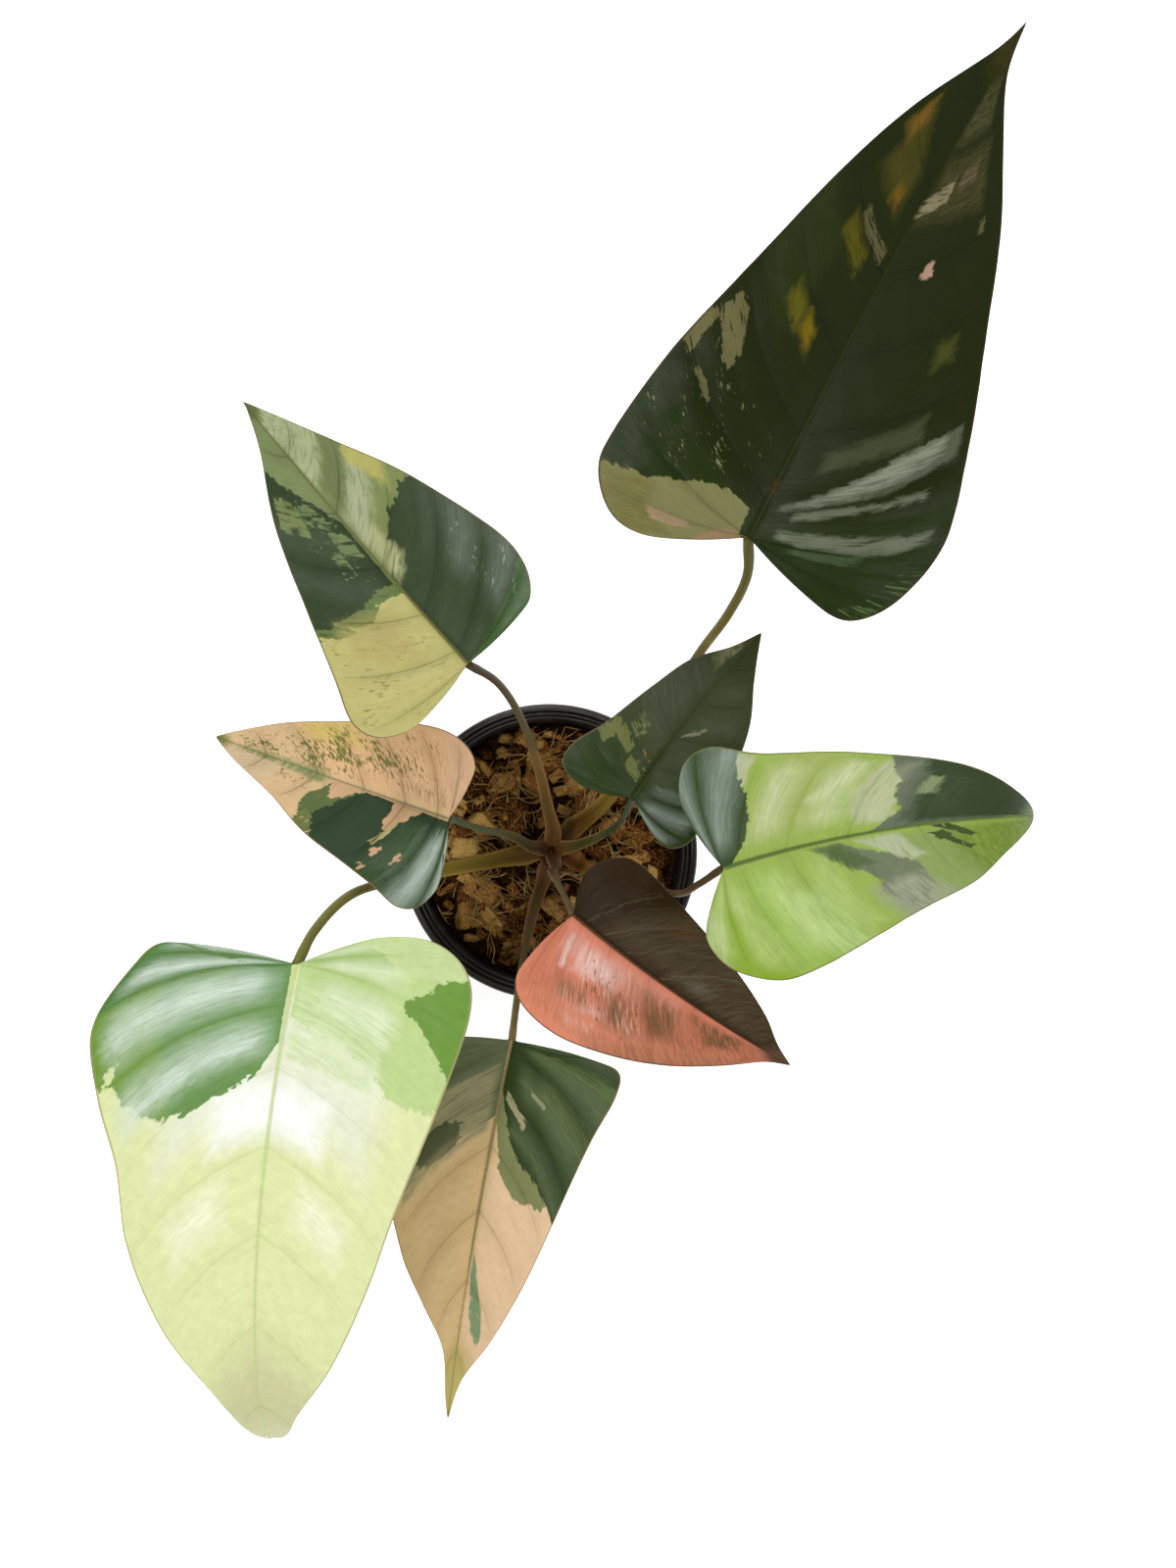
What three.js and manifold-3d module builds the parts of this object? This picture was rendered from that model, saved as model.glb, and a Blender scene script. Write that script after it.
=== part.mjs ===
// A potted aroid house plant: eight variegated, heart-shaped blades on sheathed stalks
// that leave one short crown, in a black nursery pot filled with chopped coconut husk.
// Millimetres, +Z up, origin at the middle of the pot's base.
import * as THREE from "three";
import { mergeVertices } from "three/addons/utils/BufferGeometryUtils.js";
import Module from "manifold-3d";

const wasm = await Module();
wasm.setup();

// Driving dimensions
const GAP = 0.3; // clearance between pieces that touch on the real plant
const POT_HEIGHT = 105;
const POT_RIM_RADIUS = 64;
const POT_THROAT_RADIUS = 59.6; // outside of the wall where it meets the rim
const POT_BASE_RADIUS = 45;
const POT_SKIRT = 15; // how far the rim's skirt hangs down outside the wall
const POT_WALL = 1.8;
const POT_FLOOR = 3;
const POT_SIDES = 48;
const DRAIN_HOLES = 6;
const DRAIN_RADIUS = 4.5;
const DRAIN_CIRCLE = 30;
const MIX_TOP = 90;
const MIX_BUMP = 1.6; // how far the surface of the husk rises and falls
const HUSK_CHIPS = 46;
const HUSK_REACH = 7; // the tallest chip's height over MIX_TOP
const HUSK_CLEAR_RADIUS = 18; // no chip has its middle inside this radius round the crown
const CROWN_RADIUS = 7.5;
const CROWN_FOOT = 76; // height of the crown's lower end, inside the husk
const CROWN_LOW = new THREE.Vector3(1, 1, 96); // level that the outer stalks leave from
const CROWN_HIGH = new THREE.Vector3(1, 1, 100); // centre of the round top, for the inner stalks
const BLADE_THICKNESS = 0.9;
const MIDRIB_DEPTH = 1.6; // how far the midrib stands out under the blade
const VEIN_RELIEF = 0.7;
const MARGIN_WAVE = 1.2;
const FAN_SHARE = 0.3; // share of a margin whose veins leave the base itself
const VEIN_CROWDING = 1.4; // above 1, the veins leave the midrib closer together near the base
const VEIN_BOW = 0.16;
const COLUMNS = [0, 0.08, 0.3, 0.54, 0.78, 1]; // places across half a blade, midrib to margin
const CROWN_SIDES = 24;
const STALK_SIDES = 8;
const STALK_STEP = 12; // distance between the rings of a stalk
const STALK_TAPER = 0.6; // share of a stalk over which it narrows
const SHEATH_SHARE = 0.45; // share of a stalk that its sheath takes
const SHEATH_CHANNEL = 0.6; // depth of the channel in a sheath, as a share of its radius

// The eight leaves. A blade starts at base, runs along heading (degrees from +X) and turns
// by turn on the way to its tip. pitch is its slope at the back of the lobes, at the base and
// at the tip, and bend says how late it droops. fold is how far each half rises from the
// midrib and arch how far it curves down again, each at the base and at the tip. left and
// right are the two margins as [along, across], from the base round the lobe to the tip.
// foot is where the stalk leaves the crown (its level, azimuth and elevation), stalk the points
// that it passes, radius its half thickness at the foot and at the blade, and veins the number
// of main veins on a side.
const LEAVES = {
  upper_right: {
    base: [74, 117, 245], heading: 63.6, turn: -4.2, length: 240, pitch: [-4, -5, -24], bend: 1.5,
    fold: [14, 10], arch: [26, 18], halfWidth: 62, lobe: 40, veins: 10, wave: 3, colour: 0x2c3a20,
    left: [[0, 2], [-9, 15], [-17, 34], [-15, 48], [-3, 59], [11, 61], [43, 56], [82, 46], [131, 34],
      [175, 21], [218, 5], [240, 0]],
    right: [[0, 2], [-6, 16], [-13, 37], [-9, 49], [6, 59], [31, 64], [64, 56], [98, 46], [141, 32],
      [179, 16], [211, 4], [240, 0]],
    foot: [CROWN_LOW, 45, 0], radius: [3.1, 2.1],
    stalk: [[25, 23, 121], [42, 51, 148], [60, 80, 178], [70, 94, 203], [75, 106, 226]],
    stalkColour: 0x6b6a2c,
  },
  upper_left: {
    base: [-27, 73, 232], heading: 132, turn: -2.5, length: 142, pitch: [4, -7, -28], bend: 1.4,
    fold: [14, 12], arch: [24, 18], halfWidth: 44, lobe: 28, veins: 8, wave: 2, colour: 0x6b7c4a,
    left: [[0, 2], [-3, 17], [-5, 30], [1, 42], [12, 46], [29, 40], [55, 31], [88, 20], [117, 7],
      [136, 1], [142, 0]],
    right: [[0, 2], [1, 10], [0, 22], [2, 33], [14, 40], [32, 40], [67, 30], [97, 18], [127, 6],
      [142, 0]],
    foot: [CROWN_HIGH, 85, 45], radius: [2.5, 1.7],
    stalk: [[0, 19, 117], [-3, 35, 140], [-7, 48, 163], [-12, 60, 187], [-18, 68, 209]],
    stalkColour: 0x5c4a26,
  },
  left: {
    base: [-37, 16, 190], heading: 161.5, turn: -0.5, length: 104, pitch: [0, -8, -24], bend: 1.4,
    fold: [14, 10], arch: [24, 16], halfWidth: 36, lobe: 24, veins: 8, wave: 2, colour: 0xb08a62,
    left: [[0, 2], [-2, 11], [-5, 25], [0, 36], [9, 39], [21, 34], [35, 29], [53, 23], [71, 14],
      [92, 6], [104, 0]],
    right: [[0, 2], [-3, 11], [-4, 22], [2, 29], [14, 32], [33, 29], [53, 22], [74, 15], [93, 6],
      [104, 0]],
    foot: [CROWN_HIGH, 170, 45], stalk: [[-15, 7, 124], [-26, 11, 155]], radius: [2.3, 1.5],
    stalkColour: 0x5d6240,
  },
  inner_right: {
    base: [34, 24, 196], heading: 56.6, turn: -9.4, length: 83, pitch: [4, -2, -20], bend: 1.4,
    fold: [14, 12], arch: [24, 18], halfWidth: 28, lobe: 22, veins: 8, wave: 2, colour: 0x35452b,
    left: [[0, 2], [-4, 8], [-7, 20], [-4, 30], [5, 31], [18, 25], [38, 19], [55, 14], [70, 5], [83, 0]],
    right: [[0, 2], [-5, 8], [-9, 20], [-3, 27], [10, 28], [29, 26], [49, 20], [64, 11], [74, 5],
      [83, 0]],
    foot: [CROWN_HIGH, 10, 45], stalk: [[17, 5, 122], [24, 9, 142], [30, 15, 170]], radius: [2.3, 1.4],
    stalkColour: 0x3c4426,
  },
  right: {
    base: [67, -2, 216], heading: 17.5, turn: -19.8, length: 141, pitch: [0, -5, -74], bend: 4,
    fold: [12, 4], arch: [24, 24], halfWidth: 44, lobe: 28, veins: 8, wave: 3, colour: 0x9ab548,
    left: [[0, 2], [-6, 15], [-8, 29], [-3, 41], [8, 45], [25, 37], [55, 31], [85, 24], [104, 18],
      [124, 9], [136, 3], [141, 0]],
    right: [[0, 2], [-9, 12], [-14, 24], [-7, 38], [10, 47], [30, 45], [57, 38], [79, 30], [98, 23],
      [115, 13], [135, 3], [141, 0]],
    foot: [CROWN_LOW, -25, 0], stalk: [[17, -7, 109], [35, -11, 140], [52, -14, 172], [59, -9, 195]],
    radius: [3, 1.6], stalkColour: 0x6a5a2e,
  },
  lower_right: {
    base: [11, -22, 180], heading: -40.3, turn: 9.1, length: 116, pitch: [-2, -10, -30], bend: 1.4,
    fold: [20, 16], arch: [22, 18], halfWidth: 36, lobe: 22, veins: 8, wave: 2, colour: 0x8a5244,
    left: [[0, 2], [-5, 8], [-8, 18], [-5, 26], [2, 32], [17, 32], [46, 27], [69, 21], [90, 13],
      [104, 5], [116, 0]],
    right: [[0, 2], [-2, 10], [-4, 24], [-2, 34], [7, 40], [24, 41], [44, 35], [64, 26], [86, 14],
      [103, 4], [116, 0]],
    foot: [CROWN_HIGH, -75, 50], stalk: [[2, -8, 122], [7, -16, 152]], radius: [2.3, 1.5],
    stalkColour: 0x66523c,
  },
  lower_left: {
    base: [-92, -38, 214], heading: -102.1, turn: 14.2, length: 229, pitch: [0, -5, -76], bend: 3.6,
    fold: [10, 5], arch: [28, 24], halfWidth: 68, lobe: 40, veins: 10, wave: 3, colour: 0xe2e6b8,
    left: [[0, 2], [-7, 11], [-17, 29], [-19, 49], [-9, 64], [11, 68], [50, 61], [92, 51], [124, 43],
      [159, 30], [189, 15], [210, 8], [229, 0]],
    right: [[0, 2], [3, 13], [2, 31], [2, 50], [13, 61], [38, 74], [60, 68], [85, 57], [115, 51],
      [144, 37], [175, 18], [206, 7], [229, 0]],
    foot: [CROWN_LOW, 190, 0], stalk: [[-33, -5, 109], [-60, -10, 134], [-78, -15, 168], [-88, -27, 195]],
    radius: [3.2, 2.2], stalkColour: 0x7a7638,
  },
  bottom: {
    base: [-14, -74, 160], heading: -102.1, turn: 4.4, length: 188, pitch: [-4, -12, -30], bend: 1.3,
    fold: [14, 12], arch: [24, 18], halfWidth: 44, lobe: 24, veins: 9, wave: 2, colour: 0xb99a74,
    left: [[0, 2], [3, 10], [0, 29], [2, 44], [13, 46], [35, 40], [66, 33], [105, 24], [138, 14],
      [163, 4], [188, 0]],
    right: [[0, 2], [3, 10], [2, 20], [4, 29], [18, 43], [44, 43], [73, 38], [101, 28], [123, 17],
      [147, 6], [176, 2], [188, 0]],
    foot: [CROWN_LOW, -105, 0], stalk: [[-7, -26, 107], [-11, -46, 121], [-13, -63, 142]],
    radius: [2.7, 1.7], stalkColour: 0x47382a,
  },
};

// Numbers that look random but are the same every time
function seeded(seed) {
  let state = seed;
  return () => {
    state = (state * 1664525 + 1013904223) % 4294967296;
    return state / 4294967296;
  };
}

const radians = THREE.MathUtils.degToRad;
const mix = (a, b, share) => a + (b - a) * share;

// Surfaces made of single triangles, closed by merging the corners that meet
function closedGeometry(triangles) {
  const positions = [];
  for (const [a, b, c] of triangles) {
    if (a.distanceTo(b) > 1e-4 && b.distanceTo(c) > 1e-4 && c.distanceTo(a) > 1e-4) {
      positions.push(...a.toArray(), ...b.toArray(), ...c.toArray());
    }
  }
  const geometry = new THREE.BufferGeometry();
  geometry.setAttribute("position", new THREE.Float32BufferAttribute(positions, 3));
  return mergeVertices(geometry, 1e-3);
}

function toManifold(source) {
  const bare = source.clone();
  bare.deleteAttribute("normal");
  bare.deleteAttribute("uv");
  const merged = mergeVertices(bare, 1e-3);
  return new wasm.Manifold(new wasm.Mesh({
    numProp: 3,
    vertProperties: new Float32Array(merged.attributes.position.array),
    triVerts: new Uint32Array(merged.index.array),
  }));
}

function fromManifold(solid) {
  const mesh = solid.getMesh();
  const geometry = new THREE.BufferGeometry();
  geometry.setAttribute("position", new THREE.Float32BufferAttribute(mesh.vertProperties, 3));
  geometry.setIndex(new THREE.Uint32BufferAttribute(mesh.triVerts, 1));
  return geometry;
}

// The largest body alone: loose scraps are dropped and sealed hollows are filled
function wholeBody(solid) {
  const bodies = solid.decompose();
  return bodies.sort((a, b) => b.volume() - a.volume())[0];
}

// A solid of revolution about +Z from [radius, height] points
function turned(profile, sides) {
  const points = profile.map(([radius, height]) => new THREE.Vector2(radius, height));
  const geometry = new THREE.LatheGeometry(points, sides);
  return geometry.rotateX(Math.PI / 2);
}

// Pot: tapered wall, a rim with a hanging skirt and two steps inside, and a floor with drain holes
function outerRadius(height) {
  return mix(POT_BASE_RADIUS, POT_THROAT_RADIUS, height / POT_HEIGHT);
}

function innerRadius(height) {
  return outerRadius(height) - POT_WALL;
}

function potGeometry() {
  const rim = POT_RIM_RADIUS;
  const top = POT_HEIGHT;
  const profile = [
    [0, 0], [POT_BASE_RADIUS - 2, 0], [POT_BASE_RADIUS, 2], [outerRadius(top - 5.5), top - 5.5],
    [rim - 2.6, top - 4.8], [rim - 3, top - POT_SKIRT], [rim - 1.4, top - POT_SKIRT],
    [rim - 0.6, top - 5], [rim, top - 2.4], [rim - 0.5, top - 0.5], [rim - 1.8, top],
    [rim - 3, top - 0.4], [rim - 3.4, top - 2], [rim - 3.6, top - 3.6], [rim - 4.8, top - 4],
    [rim - 5.1, top - 7], [rim - 6.2, top - 7.4], [innerRadius(top - 9), top - 9],
    [innerRadius(POT_FLOOR), POT_FLOOR], [0, POT_FLOOR],
  ];
  let pot = toManifold(turned(profile, POT_SIDES));
  for (let i = 0; i < DRAIN_HOLES; i += 1) {
    const angle = (2 * Math.PI * (i + 0.5)) / DRAIN_HOLES;
    const drill = new THREE.CylinderGeometry(DRAIN_RADIUS, DRAIN_RADIUS, 3 * POT_FLOOR, 12);
    drill.rotateX(Math.PI / 2);
    drill.translate(DRAIN_CIRCLE * Math.cos(angle), DRAIN_CIRCLE * Math.sin(angle), POT_FLOOR / 2);
    pot = pot.subtract(toManifold(drill));
  }
  return fromManifold(pot);
}

// Potting mix: husk that fills the pot, with chips that lie on and stick out of its surface
function mixHeight(x, y) {
  const swell = Math.sin(x / 7.3 + 1.3) * Math.cos(y / 8.1) + 0.6 * Math.sin((x + y) / 4.9);
  return MIX_TOP + MIX_BUMP * 0.6 * swell;
}

function mixBody() {
  const rings = [0, 13, 22, 31, 40, 48];
  const sides = 32;
  const at = (radius, k, height) => {
    const angle = (2 * Math.PI * k) / sides;
    const [x, y] = [radius * Math.cos(angle), radius * Math.sin(angle)];
    return new THREE.Vector3(x, y, height ?? mixHeight(x, y));
  };
  const low = POT_FLOOR + GAP;
  const rows = rings.map((radius) => (k) => at(radius, k));
  rows.push((k) => at(innerRadius(MIX_TOP) - GAP, k, MIX_TOP));
  rows.push((k) => at(innerRadius(low) - GAP, k, low));
  rows.push((k) => at(0, k, low));
  const triangles = [];
  for (let r = 0; r + 1 < rows.length; r += 1) {
    for (let k = 0; k < sides; k += 1) {
      const [a, b, c, d] = [rows[r](k), rows[r + 1](k), rows[r + 1](k + 1), rows[r](k + 1)];
      triangles.push([a, b, c], [a, c, d]);
    }
  }
  return toManifold(closedGeometry(triangles));
}

// One chip of husk: a block whose corners are knocked about
function huskChip(size, random) {
  const block = mergeVertices(new THREE.BoxGeometry(...size).deleteAttribute("normal").deleteAttribute("uv"));
  const corners = block.attributes.position;
  for (let i = 0; i < corners.count; i += 1) {
    const [x, y, z] = size.map((side) => side * 0.16 * (random() - 0.5));
    corners.setXYZ(i, corners.getX(i) + x, corners.getY(i) + y, corners.getZ(i) + z);
  }
  return block;
}

// The lowest underside of any stalk within reach of a place
function stalkRoof(x, y, reach) {
  let roof = Infinity;
  for (const { points, radius } of stalkCourses) {
    for (const point of points) {
      if (Math.hypot(point.x - x, point.y - y) < reach + radius) {
        roof = Math.min(roof, point.z - radius);
      }
    }
  }
  return roof;
}

function pottingMixGeometry() {
  const random = seeded(11);
  const golden = Math.PI * (3 - Math.sqrt(5));
  const reach = innerRadius(MIX_TOP) - 6;
  let solid = mixBody();
  for (let i = 0; i < HUSK_CHIPS; i += 1) {
    const radius = mix(HUSK_CLEAR_RADIUS, reach, Math.sqrt((i + 0.5) / HUSK_CHIPS));
    const [x, y] = [radius * Math.cos(i * golden), radius * Math.sin(i * golden)];
    const size = [mix(9, 17, random()), mix(6, 11, random()), mix(6, 9, random())];
    const chip = huskChip(size, random);
    chip.rotateX(mix(-0.5, 0.5, random()));
    chip.rotateY(mix(-0.5, 0.5, random()));
    chip.rotateZ(2 * Math.PI * random());
    chip.computeBoundingBox();
    const height = chip.boundingBox.max.z;
    const roof = stalkRoof(x, y, size[0] / 2) - 2 * GAP;
    chip.translate(x, y, Math.min(MIX_TOP + mix(-0.5, 1.8, random()), roof - height));
    solid = solid.add(toManifold(chip));
  }
  const fillProfile = [
    [0, POT_FLOOR + GAP], [innerRadius(POT_FLOOR + GAP) - GAP, POT_FLOOR + GAP],
    [innerRadius(MIX_TOP + HUSK_REACH - 1) - GAP, MIX_TOP + HUSK_REACH - 1],
    [innerRadius(MIX_TOP + HUSK_REACH - 1) - GAP, MIX_TOP + HUSK_REACH], [0, MIX_TOP + HUSK_REACH],
  ];
  solid = solid.intersect(toManifold(turned(fillProfile, POT_SIDES)));
  const holeProfile = [
    [0, CROWN_FOOT - GAP], [CROWN_RADIUS + GAP, CROWN_FOOT - GAP],
    [CROWN_RADIUS + GAP, POT_HEIGHT], [0, POT_HEIGHT],
  ];
  const hole = turned(holeProfile, CROWN_SIDES);
  hole.translate(CROWN_LOW.x, CROWN_LOW.y, 0);
  return fromManifold(wholeBody(solid.subtract(toManifold(hole))));
}

// Crown: a short round-topped stem that stands in a plain hole in the husk
function crownGeometry() {
  const profile = [[0, CROWN_FOOT], [CROWN_RADIUS - 2, CROWN_FOOT], [CROWN_RADIUS, CROWN_FOOT + 3]];
  const steps = 5;
  for (let i = 0; i < steps; i += 1) {
    const angle = (i / steps) * (Math.PI / 2);
    profile.push([CROWN_RADIUS * Math.cos(angle), CROWN_HIGH.z + CROWN_RADIUS * Math.sin(angle)]);
  }
  profile.push([0, CROWN_HIGH.z + CROWN_RADIUS]);
  return turned(profile, CROWN_SIDES).translate(CROWN_HIGH.x, CROWN_HIGH.y, 0);
}

// The bent surface of one blade, from [along, across] on the flat leaf to space
class BladeSurface {
  constructor(leaf) {
    this.leaf = leaf;
    this.spine = new Map([[0, new THREE.Vector3(...leaf.base)]]);
    for (let i = 1; i <= leaf.length; i += 1) {
      this.spine.set(i, this.spine.get(i - 1).clone().add(this.forward(i - 0.5)));
    }
    for (let i = -1; i >= -leaf.lobe; i -= 1) {
      this.spine.set(i, this.spine.get(i + 1).clone().sub(this.forward(i + 0.5)));
    }
  }

  slope(along) {
    const { pitch, bend, length, lobe } = this.leaf;
    if (along < 0) {
      return radians(mix(pitch[1], pitch[0], Math.min(-along / lobe, 1)));
    }
    return radians(mix(pitch[1], pitch[2], Math.min(along / length, 1) ** bend));
  }

  course(along) {
    const { heading, turn, length } = this.leaf;
    return radians(heading + turn * THREE.MathUtils.clamp(along / length, 0, 1));
  }

  forward(along) {
    const [slope, course] = [this.slope(along), this.course(along)];
    return new THREE.Vector3(Math.cos(slope) * Math.cos(course), Math.cos(slope) * Math.sin(course),
      Math.sin(slope));
  }

  frame(along) {
    const course = this.course(along);
    const ahead = this.forward(along);
    const across = new THREE.Vector3(-Math.sin(course), Math.cos(course), 0);
    const up = new THREE.Vector3().crossVectors(ahead, across);
    return { ahead, across, up };
  }

  middle(along) {
    const low = Math.floor(along);
    const high = Math.min(low + 1, this.leaf.length);
    return this.spine.get(low).clone().lerp(this.spine.get(high), along - low);
  }

  // The point that lies lift above the flat leaf's point, on the side of the sign of across
  point(along, across, lift) {
    const { fold, arch, halfWidth, length } = this.leaf;
    const share = THREE.MathUtils.clamp(along / length, 0, 1);
    const frame = this.frame(along);
    const rise = radians(mix(fold[0], fold[1], share));
    const curl = radians(mix(arch[0], arch[1], share)) / halfWidth;
    const angle = rise - curl * Math.abs(across);
    const side = (Math.sign(across) * (Math.sin(rise) - Math.sin(angle))) / curl;
    const height = (Math.cos(angle) - Math.cos(rise)) / curl;
    const normal = frame.up.clone().multiplyScalar(Math.cos(angle));
    normal.addScaledVector(frame.across, -Math.sign(across) * Math.sin(angle)).normalize();
    return this.middle(along).addScaledVector(frame.across, side).addScaledVector(frame.up, height)
      .addScaledVector(normal, lift);
  }
}

// Half a blade as rows that follow the side veins, from the midrib to the margin
class HalfBlade {
  constructor(surface, margin, sign) {
    this.surface = surface;
    this.sign = sign;
    this.margin = new THREE.SplineCurve(margin.map(([along, across]) => new THREE.Vector2(along, across)));
    this.margin.arcLengthDivisions = 400;
  }

  flat(row, column) {
    const { length } = this.surface.leaf;
    const later = Math.max(row - FAN_SHARE, 0) / (1 - FAN_SHARE);
    const root = new THREE.Vector2(length * later ** VEIN_CROWDING, 0);
    const end = this.margin.getPointAt(row);
    const chord = end.clone().sub(root);
    const bow = VEIN_BOW * Math.min(row / FAN_SHARE, 1);
    const control = root.clone().add(end).multiplyScalar(0.5);
    control.add(new THREE.Vector2(-chord.y, chord.x).multiplyScalar(bow));
    const rest = 1 - column;
    return new THREE.Vector2(
      rest * rest * root.x + 2 * rest * column * control.x + column * column * end.x,
      rest * rest * root.y + 2 * rest * column * control.y + column * column * end.y,
    );
  }

  // Veins lie in valleys, the blade swells between them, and the margin waves a little
  lift(row, column) {
    const { veins, wave } = this.surface.leaf;
    const swell = -VEIN_RELIEF * Math.cos(2 * Math.PI * veins * row) * Math.sin(Math.PI * column) ** 0.7;
    const fade = Math.sin(Math.PI * row);
    return swell * fade + MARGIN_WAVE * Math.sin(2 * Math.PI * wave * row) * column ** 3 * fade;
  }

  top(row, column) {
    const flat = this.flat(row, column);
    return this.surface.point(flat.x, this.sign * flat.y, this.lift(row, column));
  }

  bottom(row, column) {
    const flat = this.flat(row, column);
    const rib = column === 0 ? MIDRIB_DEPTH * (1 - 0.8 * (flat.x / this.surface.leaf.length)) : 0;
    return this.surface.point(flat.x, this.sign * flat.y, this.lift(row, column) - BLADE_THICKNESS - rib);
  }
}

function bladeGeometry(leaf) {
  const surface = new BladeSurface(leaf);
  const rows = 2 * leaf.veins;
  const triangles = [];
  for (const [margin, sign] of [[leaf.left, 1], [leaf.right, -1]]) {
    const half = new HalfBlade(surface, margin, sign);
    const top = (i, j) => half.top(i / rows, COLUMNS[j]);
    const bottom = (i, j) => half.bottom(i / rows, COLUMNS[j]);
    const add = (a, b, c) => triangles.push(sign > 0 ? [a, b, c] : [a, c, b]);
    const last = COLUMNS.length - 1;
    for (let i = 0; i < rows; i += 1) {
      for (let j = 0; j < last; j += 1) {
        add(top(i, j), top(i + 1, j), top(i + 1, j + 1));
        add(top(i, j), top(i + 1, j + 1), top(i, j + 1));
        add(bottom(i, j), bottom(i + 1, j + 1), bottom(i + 1, j));
        add(bottom(i, j), bottom(i, j + 1), bottom(i + 1, j + 1));
      }
      add(top(i, last), top(i + 1, last), bottom(i + 1, last));
      add(top(i, last), bottom(i + 1, last), bottom(i, last));
    }
    for (let j = 0; j < last; j += 1) {
      add(top(0, j), top(0, j + 1), bottom(0, j + 1));
      add(top(0, j), bottom(0, j + 1), bottom(0, j));
    }
  }
  return closedGeometry(triangles);
}

// The course of a stalk, from the crown's side to the underside of the blade's base
function stalkCourse(leaf) {
  const [level, azimuth, elevation] = [leaf.foot[0], radians(leaf.foot[1]), radians(leaf.foot[2])];
  const outward = new THREE.Vector3(Math.cos(elevation) * Math.cos(azimuth),
    Math.cos(elevation) * Math.sin(azimuth), Math.sin(elevation));
  const across = new THREE.Vector3(-Math.sin(azimuth), Math.cos(azimuth), 0);
  const foot = level.clone().addScaledVector(outward, CROWN_RADIUS + GAP);
  const { up } = new BladeSurface(leaf).frame(0);
  const top = new THREE.Vector3(...leaf.base)
    .addScaledVector(up, -BLADE_THICKNESS - MIDRIB_DEPTH - GAP);
  const path = new THREE.CatmullRomCurve3([
    foot, foot.clone().addScaledVector(outward, 6),
    ...leaf.stalk.map((place) => new THREE.Vector3(...place)), top,
  ], false, "centripetal");
  return { path, outward, across, top, up };
}

// Stalk: round above, and below it a broader sheath with a channel on its inner side
function stalkGeometry(leaf) {
  const { path, outward, across, top, up } = stalkCourse(leaf);
  const rings = Math.round(path.getLength() / STALK_STEP);
  const corner = (ring, k) => {
    const share = ring / rings;
    const centre = path.getPointAt(share);
    const tangent = ring === 0 ? outward.clone() : path.getTangentAt(share);
    const inner = new THREE.Vector3().crossVectors(tangent, across).normalize();
    const side = new THREE.Vector3().crossVectors(inner, tangent).normalize();
    const angle = (2 * Math.PI * k) / STALK_SIDES;
    const radius = mix(leaf.radius[0], leaf.radius[1], Math.min(share / STALK_TAPER, 1));
    const open = THREE.MathUtils.clamp(2 * (1 - share / SHEATH_SHARE), 0, 1);
    const reach = k === 0 ? 1 - SHEATH_CHANNEL * open : 1;
    const place = centre.clone()
      .addScaledVector(inner, radius * reach * Math.cos(angle))
      .addScaledVector(side, -radius * Math.sin(angle));
    if (ring === rings) {
      place.addScaledVector(tangent, -place.clone().sub(top).dot(up) / tangent.dot(up));
    }
    return place;
  };
  const triangles = [];
  for (let ring = 0; ring < rings; ring += 1) {
    for (let k = 0; k < STALK_SIDES; k += 1) {
      const [a, b] = [corner(ring, k), corner(ring, (k + 1) % STALK_SIDES)];
      const [c, d] = [corner(ring + 1, (k + 1) % STALK_SIDES), corner(ring + 1, k)];
      triangles.push([a, b, c], [a, c, d]);
    }
  }
  const ends = [[0, path.getPointAt(0)], [rings, top]];
  for (const [ring, centre] of ends) {
    for (let k = 0; k < STALK_SIDES; k += 1) {
      const [a, b] = [corner(ring, k), corner(ring, (k + 1) % STALK_SIDES)];
      triangles.push(ring === 0 ? [centre, b, a] : [centre, a, b]);
    }
  }
  return closedGeometry(triangles);
}

function piece(name, geometry, colour, roughness) {
  const material = new THREE.MeshStandardMaterial({ color: colour, roughness, metalness: 0 });
  const mesh = new THREE.Mesh(geometry, material);
  mesh.name = name;
  return mesh;
}

const stalkCourses = Object.values(LEAVES).map((leaf) => (
  { points: stalkCourse(leaf).path.getSpacedPoints(40), radius: leaf.radius[0] }));

const plant = new THREE.Group();
plant.add(piece("pot", potGeometry(), 0x1c1c1e, 0.5));
plant.add(piece("potting_mix", pottingMixGeometry(), 0x6b4a2c, 0.95));
plant.add(piece("crown", crownGeometry(), 0x5a3324, 0.6));
for (const [name, leaf] of Object.entries(LEAVES)) {
  plant.add(piece(`petiole_${name}`, stalkGeometry(leaf), leaf.stalkColour, 0.5));
  plant.add(piece(`blade_${name}`, bladeGeometry(leaf), leaf.colour, 0.35));
}

export default plant;
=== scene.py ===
import math

import bmesh
import bpy
import numpy as np
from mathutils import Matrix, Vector, noise


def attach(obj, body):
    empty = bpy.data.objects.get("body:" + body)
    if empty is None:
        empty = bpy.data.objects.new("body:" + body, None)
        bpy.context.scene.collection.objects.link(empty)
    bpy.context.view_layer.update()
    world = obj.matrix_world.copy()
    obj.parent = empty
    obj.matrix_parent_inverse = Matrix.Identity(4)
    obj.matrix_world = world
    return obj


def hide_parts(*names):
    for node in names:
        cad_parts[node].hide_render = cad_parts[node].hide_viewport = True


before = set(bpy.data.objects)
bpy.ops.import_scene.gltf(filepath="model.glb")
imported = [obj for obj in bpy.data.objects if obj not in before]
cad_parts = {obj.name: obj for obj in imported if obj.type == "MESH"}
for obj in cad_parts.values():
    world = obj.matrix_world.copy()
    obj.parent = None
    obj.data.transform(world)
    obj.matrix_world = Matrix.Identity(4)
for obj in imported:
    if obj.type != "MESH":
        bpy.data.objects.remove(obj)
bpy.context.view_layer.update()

# Driving dimensions, in millimetres as in the part's source
MM = 0.001
GAP = 0.3
POT_HEIGHT = 105
POT_RIM_RADIUS = 64
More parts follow.
